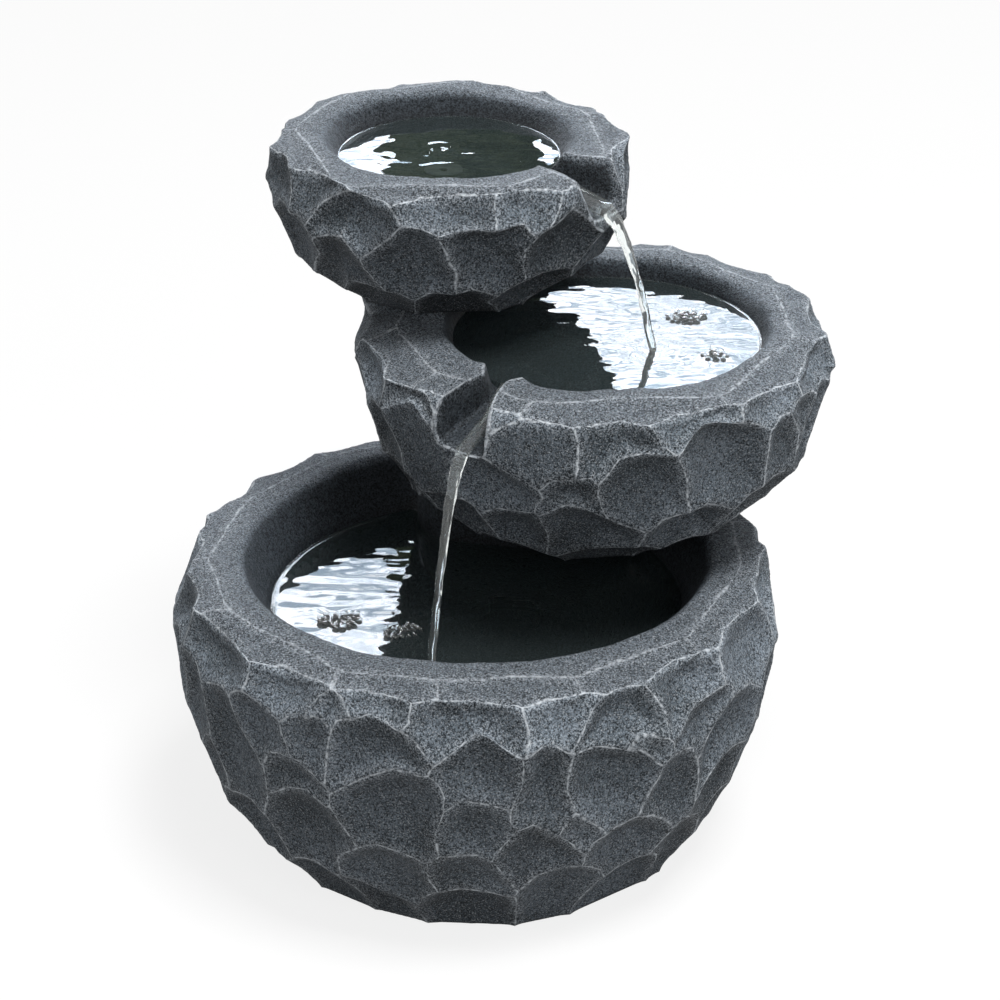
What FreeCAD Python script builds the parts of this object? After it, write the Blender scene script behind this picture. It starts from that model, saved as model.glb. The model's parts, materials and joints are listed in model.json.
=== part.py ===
import FreeCAD, Part
import math
import os
import random
import re
import Sketcher

# Three-bowl garden fountain in millimetres. Z is up, the ground is z = 0, and the origin is the middle of
# the lower bowl's foot. The viewer stands on the -Y side.

SIZES = [
    ("low_height", 197, "lower bowl: rim above the ground"),
    ("low_belly_height", 150, "lower bowl: widest place above the ground"),
    ("low_belly_radius", 202, "lower bowl: widest radius"),
    ("low_rim_radius", 190, "lower bowl: outer edge of the rim"),
    ("low_foot_radius", 147, "lower bowl: foot"),
    ("low_mouth_radius", 154, "lower bowl: basin at the rim"),
    ("low_floor_radius", 80, "lower bowl: basin at its floor"),
    ("low_floor_height", 36, "lower bowl: basin floor above the ground"),
    ("mid_x", 78, "middle bowl: axis to the right of the lower bowl's"),
    ("mid_y", 75, "middle bowl: axis behind the lower bowl's"),
    ("mid_height", 134, "middle bowl: rim above its foot"),
    ("mid_belly_height", 110, "middle bowl: widest place above its foot"),
    ("mid_belly_radius", 159, "middle bowl: widest radius"),
    ("mid_rim_radius", 149, "middle bowl: outer edge of the rim"),
    ("mid_foot_radius", 88, "middle bowl: foot"),
    ("mid_pool_shift", 9, "middle bowl: basin axis to the right of the bowl's"),
    ("mid_mouth_radius", 108, "middle bowl: basin at the rim"),
    ("mid_floor_radius", 78, "middle bowl: basin at its floor"),
    ("mid_floor_height", 55, "middle bowl: basin floor above its foot"),
    ("mid_spout_angle", 238, "middle bowl: heading of the spout, degrees from +X"),
    ("mid_spout_side", -13, "middle bowl: spout to the left of the radius it follows"),
    ("mid_spout_slope", 17, "middle bowl: fall of the spout's floor, degrees"),
    ("mid_spout_drop", 20, "middle bowl: spout floor below the rim at its throat"),
    ("mid_spout_width", 12, "middle bowl: spout floor at its throat"),
    ("mid_spout_inlet", 32, "middle bowl: narrowing of the spout towards its throat, each side, degrees"),
    ("mid_spout_left", 7, "middle bowl: lean of the spout's left wall, looking out, degrees"),
    ("mid_spout_right", 5, "middle bowl: lean of the spout's right wall, looking out, degrees"),
    ("top_x", -18, "top bowl: axis to the right of the lower bowl's"),
    ("top_y", 140, "top bowl: axis behind the lower bowl's"),
    ("top_height", 101, "top bowl: rim above its foot"),
    ("top_belly_height", 77, "top bowl: widest place above its foot"),
    ("top_belly_radius", 122, "top bowl: widest radius"),
    ("top_rim_radius", 112, "top bowl: outer edge of the rim"),
    ("top_foot_radius", 70, "top bowl: foot"),
    ("top_mouth_radius", 84, "top bowl: basin at the rim"),
    ("top_floor_radius", 46, "top bowl: basin at its floor"),
    ("top_floor_height", 40, "top bowl: basin floor above its foot"),
    ("top_spout_angle", -25, "top bowl: heading of the spout, degrees from +X"),
    ("top_spout_side", -11.5, "top bowl: spout to the left of the radius it follows"),
    ("top_spout_slope", 17, "top bowl: fall of the spout's floor, degrees"),
    ("top_spout_drop", 23, "top bowl: spout floor below the rim at its throat"),
    ("top_spout_width", 11, "top bowl: spout floor at its throat"),
    ("top_spout_inlet", 3, "top bowl: narrowing of the spout towards its throat, each side, degrees"),
    ("top_spout_left", 3, "top bowl: lean of the spout's left wall, looking out, degrees"),
    ("top_spout_right", 32, "top bowl: lean of the spout's right wall, looking out, degrees"),
    ("spout_depth", 70, "height of the cut that opens a spout"),
    ("spout_lead", 6, "a spout's throat beyond the edge of the basin"),
    ("spout_fan", 13, "widening of a spout beyond its throat, each side, degrees"),
    ("basin_round", 18, "round between a basin's floor and its wall"),
    ("facet_width", 52, "width of a chisel facet"),
    ("facet_tall", 44, "height of a chisel facet"),
    ("facet_skew", 6, "how far a chisel stroke strays, degrees"),
    ("facet_bite", 2.5, "deepest chisel stroke below the bowl's curve"),
    ("rim_fall", 11, "fall of the rim's chiselled outer band, degrees"),
    ("rim_facet_width", 83, "width of a facet on the rim's outer band"),
    ("neck_rise", 5, "top of the neck above the middle bowl's rim"),
    ("neck_y", 136, "neck axis behind the lower bowl's axis"),
    ("neck_radius", 64, "neck where the top bowl stands on it"),
    ("neck_foot_radius", 30, "neck where it runs out at the middle bowl's foot"),
    ("well_ax", 70, "pump well: right end, to the right"),
    ("well_ay", 102, "pump well: right end, to the back"),
    ("well_bx", -5, "pump well: left end, to the right"),
    ("well_by", 118, "pump well: left end, to the back"),
    ("well_radius", 30, "pump well: half its width"),
    ("pier_wall", 7, "stone around the pump well"),
    ("door_width", 36, "pump well: water door in the front"),
    ("door_height", 30, "pump well: water door in the front"),
    ("door_round", 12, "pump well: round of the door's upper corners"),
    ("riser_x", -22, "riser axis, to the right"),
    ("riser_y", 150, "riser axis, to the back"),
    ("riser_shaft_radius", 20, "shaft in the lower bowl for the riser"),
    ("riser_shaft_floor", 100, "lowest point of that shaft"),
    ("riser_boss_radius", 19, "boss under the middle bowl around the riser"),
    ("riser_bore_radius", 9, "bore in the middle bowl for the riser"),
    ("mid_spigot_length", 9, "spigot of the middle bowl in the pump well"),
    ("top_spigot_length", 8, "spigot of the top bowl in the neck"),
    ("top_spigot_radius", 19.2, "spigot of the top bowl in the neck"),
    ("stone_gap", 0.8, "play of a stone spigot in its socket"),
    ("cable_x", 32, "cable hole, to the right"),
    ("cable_height", 177, "cable hole above the ground"),
    ("cable_seat", 181, "seat of the cable grommet behind the axis"),
    ("cable_hole_radius", 6, "cable hole"),
    ("cable_bore_radius", 3.2, "cable grommet: bore"),
    ("grommet_radius", 9.5, "cable grommet: flange"),
    ("grommet_flange", 4, "cable grommet: flange thickness"),
    ("grommet_sleeve", 10, "cable grommet: sleeve length"),
    ("rubber_gap", 0.15, "play of a rubber piece in its hole"),
    ("hose_radius", 6.5, "hose: outside"),
    ("hose_bore", 4.75, "hose: inside"),
    ("hose_bend", 34, "hose: bend radius along its axis"),
    ("hose_low_bend", 30, "hose: straight run above the nozzle's root"),
    ("hose_high_bend", 176, "hose: height above the ground where it turns upright again"),
    ("barb_gap", 0.05, "play of a hose tail in the hose"),
    ("tail_bore", 3.4, "bore of the hose tails"),
    ("tail_length", 13, "hose tail of the top bowl inside the hose"),
    ("hose_grommet_length", 14, "hose grommet under the middle bowl"),
    ("outlet_stem", 7, "outlet fitting: stem radius"),
    ("outlet_flange", 13, "outlet fitting: flange radius"),
    ("outlet_flange_tall", 3, "outlet fitting: flange thickness"),
    ("washer_tall", 1.5, "outlet washer"),
    ("nut_flats", 20, "outlet nut across its flats"),
    ("nut_tall", 8, "outlet nut"),
    ("stem_past_nut", 1, "outlet fitting: stem below the nut"),
    ("nut_room", 14, "radius of the recess around the nut"),
    ("floor_stone", 24, "stone that the outlet fitting clamps"),
    ("pump_back", -34, "pump: back of the motor along its axis"),
    ("pump_front", 6, "pump: front of the motor along its axis"),
    ("pump_width", 36, "pump: width"),
    ("pump_tall", 34, "pump: height"),
    ("pump_round", 4, "pump: round of its long edges"),
    ("pump_axis", 22, "pump: rotor axis above the floor"),
    ("cup_tall", 5, "suction cups: height"),
    ("cup_radius", 6.5, "suction cups: radius"),
    ("cup_neck", 3.6, "suction cups: radius of the neck"),
    ("cup_lip", 3, "suction cups: height of the skirt under the neck"),
    ("cup_x_back", -27, "suction cups: back pair along the pump"),
    ("cup_x_front", -1, "suction cups: front pair along the pump"),
    ("cup_y", 11, "suction cups: half their spacing"),
    ("rotor_room", 8, "pump: radius of the rotor's chamber"),
    ("rotor_room_depth", 28, "pump: depth of the rotor's chamber"),
    ("magnet_radius", 7, "rotor magnet"),
    ("magnet_length", 20, "rotor magnet"),
    ("rotor_float", 0.5, "rotor magnet: front face ahead of the motor's"),
    ("pin_radius", 1.5, "rotor pin"),
    ("pin_gap", 0.05, "running play of the rotor on its pin"),
    ("bush_radius", 3.5, "rotor pin bushes"),
    ("bush_length", 3, "rotor pin bushes"),
    ("hub_radius", 4, "impeller hub"),
    ("impeller_radius", 11, "impeller blades"),
    ("blade_thick", 1.6, "impeller blades"),
    ("blade_count", 5, "impeller blades"),
    ("impeller_length", 7.5, "impeller"),
    ("cover_length", 12, "impeller cover"),
    ("cover_wall", 3, "impeller cover: front wall"),
    ("cover_inset", 1, "impeller cover: step in from the motor's sides"),
    ("chamber_radius", 12.6, "impeller cover: chamber"),
    ("inlet_ring", 8, "impeller cover: circle of the inlet holes"),
    ("inlet_radius", 2, "inlet holes"),
    ("inlet_count", 6, "impeller cover: inlet holes"),
    ("nozzle_root", 4, "impeller cover: collar under the hose"),
    ("nozzle_collar", 5.75, "impeller cover: radius of that collar"),
    ("nozzle_depth", 3, "impeller cover: nozzle below the cover's top"),
    ("nozzle_length", 18, "impeller cover: nozzle above the cover"),
    ("lip_length", 4, "impeller cover: lip that carries the strainer"),
    ("seal_radius", 14.2, "cover seal: inside"),
    ("seal_width", 1.6, "cover seal: width and groove"),
    ("seal_tall", 1.4, "cover seal: height"),
    ("strainer_length", 24, "strainer"),
    ("strainer_wall", 2, "strainer"),
    ("strainer_gap", 0.3, "play of the strainer on its lip"),
    ("slot_width", 2.4, "strainer: slots"),
    ("slot_pitch", 4.6, "strainer: slots"),
    ("slot_tall", 22, "strainer: slots"),
    ("slot_count", 4, "strainer: slots on each side"),
    ("dial_radius", 10, "flow dial"),
    ("dial_thick", 2.4, "flow dial"),
    ("dial_pin", 2, "flow dial: pin it turns on"),
    ("dial_ring", 6, "flow dial: circle of its holes"),
    ("dial_holes", 4, "flow dial: holes"),
    ("dial_gap", 0.3, "flow dial: off the strainer's face"),
    ("dial_grip", 2.6, "flow dial: grip"),
    ("dial_grip_reach", 9, "flow dial: half the length of the grip"),
    ("gland_radius", 5, "cable gland: collar"),
    ("gland_collar", 4, "cable gland: collar length"),
    ("gland_tail", 8, "cable gland: tail length"),
    ("gland_tail_radius", 3.8, "cable gland: tail"),
    ("gland_bore", 2.2, "cable gland: bore"),
    ("clip_wall", 0.9, "hose clip: band"),
    ("clip_tall", 6, "hose clip: width of the band"),
    ("clip_ear", 4, "hose clip: ears"),
    ("clip_slit", 2, "hose clip: gap between the ears"),
    ("clip_rise", 2, "hose clip: above the foot of the hose"),
    ("clip_turn", 200, "hose clip: heading of the ears, degrees from +X"),
]

SEEDS = {"low": 11, "mid": 23, "top": 7}
FEWEST_FACETS = 7
STRAY_UP = 0.22
STRAY_ROUND = 0.24
RIM_STRAY_ROUND = 0.25
RIM_STRAY_LEAN = 0.4
RIM_BAND = 0.6
OVERSHOOT = "20"
THROUGH = "1"
MID_RIM = "(low_height + mid_height)"
TOP_BASE = "(low_height + mid_height + neck_rise)"
TOP_RIM = "(low_height + mid_height + neck_rise + top_height)"
TOP_FLOOR = "(low_height + mid_height + neck_rise + top_floor_height)"
NUT_SEAT = "(low_height + mid_height + neck_rise + top_floor_height - floor_stone)"
TAIL_END = "(low_height + mid_height + neck_rise - top_spigot_length)"
MID_POOL_X = "(mid_x + mid_pool_shift)"
WELL_X = "((well_ax + well_bx) / 2)"
WELL_Y = "((well_ay + well_by) / 2)"
WELL_REACH = "sqrt(pow(well_bx - well_ax; 2) + pow(well_by - well_ay; 2))"
WELL_TURN = "atan2(well_by - well_ay; well_bx - well_ax)"
NOZZLE_X = "(pump_front + cover_length / 2)"
NOZZLE_ROOT = "(cup_tall + pump_tall - cover_inset)"
COVER_FRONT = "(pump_front + cover_length)"
ROTOR_FRONT = "(pump_front + rotor_float)"
STRAINER_FRONT = "(pump_front + cover_length + strainer_length)"
HOSE_FOOT = "(low_floor_height + cup_tall + pump_tall - cover_inset + nozzle_root)"

doc = FreeCAD.newDocument("fountain")
sheet = doc.addObject("Spreadsheet::Sheet", "Sizes")
for row, (alias, value, meaning) in enumerate(SIZES, start=1):
    sheet.set(f"A{row}", meaning)
    sheet.set(f"B{row}", str(value))
    sheet.setAlias(f"B{row}", alias)
doc.recompute()

NAMES = {alias for alias, value, meaning in SIZES}
UP = FreeCAD.Vector(0, 0, 1)
LAID_BACK = FreeCAD.Vector(-1, 0, 0)


def bound(text):
    """An expression in the sheet's words, as the document writes it."""
    return re.sub(r"[a-z]\w+", lambda word: "Sizes." + word[0] if word[0] in NAMES else word[0], text)


def worth(text):
    """The number that an expression on the sheet comes to."""
    answer = sheet.evalExpression(bound(text))
    return float(getattr(answer, "Value", answer))


def bind(thing, prop, text):
    """Tie a property to the sheet."""
    thing.setExpression(prop, bound(text))


def place(thing, x="0", y="0", z="0", turn=None, axis=UP):
    """Stand a piece at sheet-driven coordinates, turned about an axis if asked."""
    if turn is not None:
        thing.Placement = FreeCAD.Placement(FreeCAD.Vector(), FreeCAD.Rotation(axis, worth(turn)))
        bind(thing, "Placement.Rotation.Angle", turn)
    for letter, text in zip("xyz", (x, y, z)):
        bind(thing, f"Placement.Base.{letter}", text)
    return thing


def in_pump_frame(thing):
    """Stand a piece in the pump's own frame: X along the rotor, z = 0 on the floor of the well."""
    return place(thing, WELL_X, WELL_Y, "low_floor_height", WELL_TURN)


def new_sketch(body, role, offset="0"):
    """A sketch on one of the body's own planes, moved along that plane's normal."""
    sketch = body.newObject("Sketcher::SketchObject", body.Name + "_sketch")
    plane = [feature for feature in body.Origin.OriginFeatures if feature.Role == role][0]
    sketch.AttachmentSupport = (plane, [""])
    sketch.MapMode = "FlatFace"
    bind(sketch, "AttachmentOffset.Base.z", offset)
    return sketch


def hold(sketch, kind, geometry, corner, text):
    """Hold one coordinate of a point of the sketch at a sheet value, measured from the sketch's origin."""
    number = sketch.addConstraint(Sketcher.Constraint(kind, -1, 1, geometry, corner, worth(text)))
    bind(sketch, f"Constraints[{number}]", text)


def outline(sketch, corners):
    """A closed straight-sided outline whose corners follow the sheet."""
    first = sketch.GeometryCount
    count = len(corners)
    spots = [FreeCAD.Vector(worth(across), worth(up), 0) for across, up in corners]
    for i in range(count):
        sketch.addGeometry(Part.LineSegment(spots[i], spots[(i + 1) % count]), False)
    for i in range(count):
        sketch.addConstraint(Sketcher.Constraint("Coincident", first + i, 2, first + (i + 1) % count, 1))
    for i, (across, up) in enumerate(corners):
        hold(sketch, "DistanceX", first + i, 1, across)
        hold(sketch, "DistanceY", first + i, 1, up)


def rectangle(sketch, left, right, low, high):
    """A rectangle between two columns and two rows."""
    outline(sketch, [(left, low), (right, low), (right, high), (left, high)])


def ring(sketch, across, up, radius):
    """A circle whose centre and radius follow the sheet."""
    centre = FreeCAD.Vector(worth(across), worth(up), 0)
    number = sketch.addGeometry(Part.Circle(centre, UP, worth(radius)), False)
    hold(sketch, "DistanceX", number, 3, across)
    hold(sketch, "DistanceY", number, 3, up)
    constraint = sketch.addConstraint(Sketcher.Constraint("Radius", number, worth(radius)))
    bind(sketch, f"Constraints[{constraint}]", radius)


def ring_of_holes(sketch, up, circle, radius, count):
    """Equal holes on a circle around (0, up)."""
    for i in range(int(worth(count))):
        turn = f"360 * {i} / {count}"
        ring(sketch, f"{circle} * cos({turn})", f"{up} + {circle} * sin({turn})", radius)


def obround(sketch, reach, radius):
    """A slot outline: two half circles around (0, 0) and (reach, 0), joined by tangents."""
    near = FreeCAD.Vector()
    far = FreeCAD.Vector(worth(reach), 0, 0)
    half = FreeCAD.Vector(0, worth(radius), 0)
    quarter = math.pi / 2
    sketch.addGeometry(Part.ArcOfCircle(Part.Circle(near, UP, half.y), quarter, 3 * quarter), False)
    sketch.addGeometry(Part.LineSegment(near - half, far - half), False)
    sketch.addGeometry(Part.ArcOfCircle(Part.Circle(far, UP, half.y), -quarter, quarter), False)
    sketch.addGeometry(Part.LineSegment(far + half, near + half), False)
    for i in range(4):
        sketch.addConstraint(Sketcher.Constraint("Tangent", i, 2, (i + 1) % 4, 1))
    sketch.addConstraint(Sketcher.Constraint("Coincident", 0, 3, -1, 1))
    hold(sketch, "DistanceX", 2, 3, reach)
    hold(sketch, "DistanceY", 2, 3, "0")
    constraint = sketch.addConstraint(Sketcher.Constraint("Radius", 0, half.y))
    bind(sketch, f"Constraints[{constraint}]", radius)


def feature(body, kind, sketch, length, backwards=False):
    """A Pad or Pocket of a sketch, over a sheet-driven length."""
    made = body.newObject("PartDesign::" + kind, f"{body.Name}_{kind.lower()}")
    made.Profile = sketch
    bind(made, "Length", length)
    made.Reversed = backwards
    doc.recompute()
    return made


def prism(label, role, draw, length, offset="0", backwards=False):
    """A body padded from one sketch."""
    body = doc.addObject("PartDesign::Body", label)
    sketch = new_sketch(body, role, offset)
    draw(sketch)
    feature(body, "Pad", sketch, length, backwards)
    return body


def pocket(body, role, draw, length, offset="0", backwards=False):
    """A pocket in a body, from one sketch."""
    sketch = new_sketch(body, role, offset)
    draw(sketch)
    return feature(body, "Pocket", sketch, length, backwards)


def pad(body, role, draw, length, offset="0", backwards=False):
    """A further pad on a body, from one sketch."""
    sketch = new_sketch(body, role, offset)
    draw(sketch)
    return feature(body, "Pad", sketch, length, backwards)


def turned(label, corners):
    """A body revolved from an outline of (radius, height) corners."""
    body = doc.addObject("PartDesign::Body", label)
    sketch = new_sketch(body, "XZ_Plane")
    outline(sketch, corners)
    lathe = body.newObject("PartDesign::Revolution", label + "_turn")
    lathe.Profile = sketch
    lathe.ReferenceAxis = (sketch, ["V_Axis"])
    lathe.Angle = 360
    doc.recompute()
    return body


def rounded(body, radius, chosen):
    """Fillet the edges of a body that a test picks."""
    base = body.Tip
    names = [f"Edge{i}" for i, edge in enumerate(base.Shape.Edges, start=1) if chosen(edge)]
    fillet = body.newObject("PartDesign::Fillet", body.Name + "_round")
    fillet.Base = (base, names)
    bind(fillet, "Radius", radius)
    doc.recompute()
    return body


def runs_along(edge, axis):
    """True for a straight edge along a body's own axis."""
    if not isinstance(edge.Curve, Part.Line):
        return False
    return abs(edge.tangentAt(edge.FirstParameter).dot(axis)) > 0.999


def cylinder(label, radius, height, x="0", y="0", z="0", turn=None, axis=UP):
    """A plain cylinder driven by the sheet."""
    rod = doc.addObject("Part::Cylinder", label)
    bind(rod, "Radius", radius)
    bind(rod, "Height", height)
    return place(rod, x, y, z, turn, axis)


def fuse(label, *pieces):
    """One solid from several."""
    whole = doc.addObject("Part::MultiFuse", label)
    whole.Shapes = list(pieces)
    doc.recompute()
    return whole


def cut(label, base, *tools):
    """A solid with others taken away."""
    rest = doc.addObject("Part::Cut", label)
    rest.Base = base
    rest.Tool = tools[0] if len(tools) == 1 else fuse(label + "_tools", *tools)
    doc.recompute()
    return rest


def shaped(label, shape):
    """A piece whose shape is worked out in this file."""
    thing = doc.addObject("Part::Feature", label)
    thing.Shape = shape
    return thing


def curve_arcs(bowl):
    """Radii and spans (radians) of the two arcs of a bowl's outer curve: under the belly and over it."""
    spread = worth(f"{bowl}_belly_radius - {bowl}_foot_radius")
    depth = worth(f"{bowl}_belly_height")
    inset = worth(f"{bowl}_belly_radius - {bowl}_rim_radius")
    rise = worth(f"{bowl}_height - {bowl}_belly_height")
    under = (depth ** 2 + spread ** 2) / (2 * spread)
    over = (rise ** 2 + inset ** 2) / (2 * inset)
    return under, math.asin(min(1.0, depth / under)), over, math.asin(min(1.0, rise / over))


def chisel_strokes(bowl):
    """Where the mason's chisel struck: a point and an outward normal for each facet of a bowl.

    Rows of strokes follow the bowl's outer curve, each straying a little in place, depth and direction, and
    a last row of flat strokes dresses the outer band of the rim.
    """
    chance = random.Random(SEEDS[bowl])
    belly = worth(f"{bowl}_belly_radius")
    belly_height = worth(f"{bowl}_belly_height")
    skew = math.radians(worth("facet_skew"))
    under, under_span, over, over_span = curve_arcs(bowl)
    length = under * under_span + over * over_span
    rows = max(2, round(length / worth("facet_tall")))
    strokes = []
    for row_number in range(rows):
        along = (row_number + 0.5) * length / rows - under * under_span
        bend = under if along < 0 else over
        girth = 2 * math.pi * (belly - bend * (1 - math.cos(along / bend)))
        count = max(FEWEST_FACETS, round(girth / worth("facet_width")))
        phase = chance.random()
        for i in range(count):
            stray = along + chance.uniform(-STRAY_UP, STRAY_UP) * length / rows
            bend = under if stray < 0 else over
            lean = stray / bend
            heading = 2 * math.pi * (i + phase + chance.uniform(-STRAY_ROUND, STRAY_ROUND)) / count
            radius = belly - bend * (1 - math.cos(lean)) - chance.uniform(0, worth("facet_bite"))
            point = (radius, heading, belly_height + bend * math.sin(lean))
            heading += chance.uniform(-skew, skew)
            strokes.append((point, heading, lean + chance.uniform(-skew, skew)))
    flat = math.pi / 2 - math.radians(worth("rim_fall"))
    band = worth(f"{bowl}_rim_radius - {RIM_BAND} * ({bowl}_rim_radius - {bowl}_mouth_radius)")
    count = max(FEWEST_FACETS, round(2 * math.pi * band / worth("rim_facet_width")))
    for i in range(count):
        heading = 2 * math.pi * (i + chance.uniform(-RIM_STRAY_ROUND, RIM_STRAY_ROUND)) / count
        radius = band + chance.uniform(0, worth("facet_bite")) * 2
        lean = flat + chance.uniform(-RIM_STRAY_LEAN, RIM_STRAY_LEAN) * skew
        strokes.append(((radius, heading, worth(f"{bowl}_height")), heading, lean))
    return strokes


def chiselled_block(bowl):
    """The solid outside of a bowl: a block struck flat by every chisel stroke, standing on z = 0."""
    reach = 2 * worth(f"{bowl}_belly_radius")
    tall = worth(f"{bowl}_height")
    block = Part.makeBox(2 * reach, 2 * reach, tall, FreeCAD.Vector(-reach, -reach, 0))
    for (radius, where, height), heading, lean in chisel_strokes(bowl):
        point = FreeCAD.Vector(radius * math.cos(where), radius * math.sin(where), height)
        across = math.cos(lean)
        normal = FreeCAD.Vector(across * math.cos(heading), across * math.sin(heading), math.sin(lean))
        chip = Part.makeBox(4 * reach, 4 * reach, 2 * reach, FreeCAD.Vector(-2 * reach, -2 * reach, 0))
        chip.Placement = FreeCAD.Placement(point, FreeCAD.Rotation(UP, normal))
        block = block.cut(chip)
    return shaped(bowl + "_block", block.Solids[0])


def basin(bowl, x, y, foot):
    """The room inside a bowl, open upwards, with a rounded floor."""
    floor, rim = f"{bowl}_floor_height", f"{bowl}_height"
    room = turned(bowl + "_basin", [
        ("0", floor), (f"{bowl}_floor_radius", floor), (f"{bowl}_mouth_radius", rim),
        (f"{bowl}_mouth_radius", f"{rim} + {OVERSHOOT}"), ("0", f"{rim} + {OVERSHOOT}")])
    low = worth(floor)
    rounded(room, "basin_round", lambda edge: edge.BoundBox.ZMax < low + 0.01)
    return place(room, x, y, foot)


def spout(bowl, x, y, rim):
    """The chute cut through a rim: it falls outwards from a narrow throat and opens beyond it like a fan."""
    throat = f"{bowl}_spout_width / 2"
    behind, ahead = f"{bowl}_mouth_radius / 4", f"{bowl}_belly_radius"
    stations = [(f"-{behind}", f"({throat} + {behind} * tan({bowl}_spout_inlet))"), ("0", f"({throat})"),
                (ahead, f"({throat} + {ahead} * tan(spout_fan))")]
    chute = doc.addObject("PartDesign::Body", bowl + "_spout")
    sections = []
    for station, half in stations:
        left = f"{half} + spout_depth * tan({bowl}_spout_left)"
        right = f"-{half} - spout_depth * tan({bowl}_spout_right)"
        corners = [(f"-{half}", "0"), (half, "0"), (left, "spout_depth"), (right, "spout_depth")]
        sections.append(new_sketch(chute, "YZ_Plane", station))
        outline(sections[-1], corners)
    loft = chute.newObject("PartDesign::AdditiveLoft", bowl + "_fan")
    loft.Profile, loft.Sections = sections[0], sections[1:]
    loft.Ruled = True
    doc.recompute()
    heading = math.radians(worth(f"{bowl}_spout_angle"))
    side, mouth = worth(f"{bowl}_spout_side"), worth(f"{bowl}_mouth_radius")
    out = math.sqrt(mouth ** 2 - side ** 2) + worth("spout_lead")
    along = FreeCAD.Vector(math.cos(heading), math.sin(heading), 0)
    left = FreeCAD.Vector(-along.y, along.x, 0)
    middle = FreeCAD.Vector(worth(x), worth(y), worth(f"{rim} - {bowl}_spout_drop"))
    fall = FreeCAD.Rotation(FreeCAD.Vector(0, 1, 0), worth(f"{bowl}_spout_slope"))
    turn = FreeCAD.Rotation(UP, math.degrees(heading)).multiply(fall)
    chute.Placement = FreeCAD.Placement(middle + along * out + left * side, turn)
    return chute


def in_well(label, radius, z, height):
    """An obround column that follows the plan of the pump well."""
    column = prism(label, "XY_Plane", lambda sketch: obround(sketch, WELL_REACH, radius), height)
    return place(column, "well_ax", "well_ay", z, WELL_TURN)


def lower_bowl():
    """Reservoir casting, with a hollow pier at the back that holds the pump and carries the middle bowl."""
    block = chiselled_block("low")
    above = f"low_height + {OVERSHOOT}"
    pier = fuse("pier", in_well("pier_wall_outside", "well_radius + pier_wall", "0", f"2 * ({above})"),
                cylinder("riser_wall_outside", "riser_shaft_radius + pier_wall", f"2 * ({above})",
                         "riser_x", "riser_y"))
    water_room = cut("water_room", basin("low", "0", "0", "0"), pier)
    well = in_well("pump_well", "well_radius", "low_floor_height", above)
    shaft = cylinder("riser_shaft", "riser_shaft_radius", above, "riser_x", "riser_y", "riser_shaft_floor")
    door = prism("water_door", "XZ_Plane",
                 lambda sketch: rectangle(sketch, "-door_width / 2", "door_width / 2", "0", "door_height"),
                 f"well_radius + pier_wall + {OVERSHOOT}", backwards=True)
    high = worth("door_height")
    ridge = FreeCAD.Vector(0, 1, 0)
    rounded(door, "door_round", lambda edge: runs_along(edge, ridge) and edge.BoundBox.ZMin > high / 2)
    in_pump_frame(door)
    lead = cylinder("cable_hole", "cable_hole_radius", f"cable_seat - {WELL_Y} + {OVERSHOOT}",
                    "cable_x", WELL_Y, "cable_height", "90", LAID_BACK)
    seat = cylinder("cable_hole_seat", "grommet_radius + stone_gap", "low_belly_radius",
                    "cable_x", "cable_seat", "cable_height", "90", LAID_BACK)
    return cut("lower_bowl", block, water_room, well, shaft, door, lead, seat)


def middle_bowl():
    """Middle casting: bowl, neck for the top bowl, spigot in the pump well and boss around the riser."""
    block = chiselled_block("mid")
    place(block, "mid_x", "mid_y", "low_height")
    neck = doc.addObject("Part::Cone", "neck")
    bind(neck, "Radius1", "neck_foot_radius")
    bind(neck, "Radius2", "neck_radius")
    bind(neck, "Height", "mid_height + neck_rise")
    place(neck, "top_x", "neck_y", "low_height")
    boss = cylinder("riser_boss", "riser_boss_radius", "mid_floor_height", "riser_x", "riser_y",
                    "low_height")
    spigot = cylinder("mid_spigot", "well_radius - stone_gap", "mid_spigot_length + mid_floor_height / 2",
                      "well_ax", "well_ay", "low_height - mid_spigot_length")
    stone = fuse("middle_stone", block, neck, boss, spigot)
    bore = cylinder("riser_bore", "riser_bore_radius", f"{TOP_BASE} - low_height + 2 * {OVERSHOOT}",
                    "riser_x", "riser_y", f"low_height - {OVERSHOOT}")
    socket = cylinder("neck_socket", "top_spigot_radius + stone_gap", f"top_spigot_length + {OVERSHOOT}",
                      "riser_x", "riser_y", f"{TAIL_END} - stone_gap")
    return cut("middle_bowl", stone, basin("mid", MID_POOL_X, "mid_y", "low_height"),
               spout("mid", MID_POOL_X, "mid_y", MID_RIM), bore, socket)


def top_bowl():
    """Top casting, on a spigot in the neck, with a clamped hole for the outlet fitting."""
    block = chiselled_block("top")
    place(block, "top_x", "top_y", TOP_BASE)
    spigot = cylinder("top_spigot", "top_spigot_radius", "top_spigot_length + top_floor_height / 2",
                      "riser_x", "riser_y", TAIL_END)
    stone = fuse("top_stone", block, spigot)
    hole = cylinder("outlet_hole", "outlet_stem + rubber_gap", f"{TOP_RIM} - {TAIL_END}",
                    "riser_x", "riser_y", TAIL_END)
    recess = cylinder("nut_recess", "nut_room", f"{NUT_SEAT} - {TAIL_END} + {OVERSHOOT}",
                      "riser_x", "riser_y", f"{TAIL_END} - {OVERSHOOT}")
    return cut("top_bowl", stone, basin("top", "top_x", "top_y", TOP_BASE),
               spout("top", "top_x", "top_y", TOP_RIM), hole, recess)


def pump_side(sketch, inset="0"):
    """The pump's rounded-box section, seen along the rotor."""
    inset = f"({inset})"
    rectangle(sketch, f"-pump_width / 2 + {inset}", f"pump_width / 2 - {inset}", f"cup_tall + {inset}",
              f"cup_tall + pump_tall - {inset}")


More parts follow.
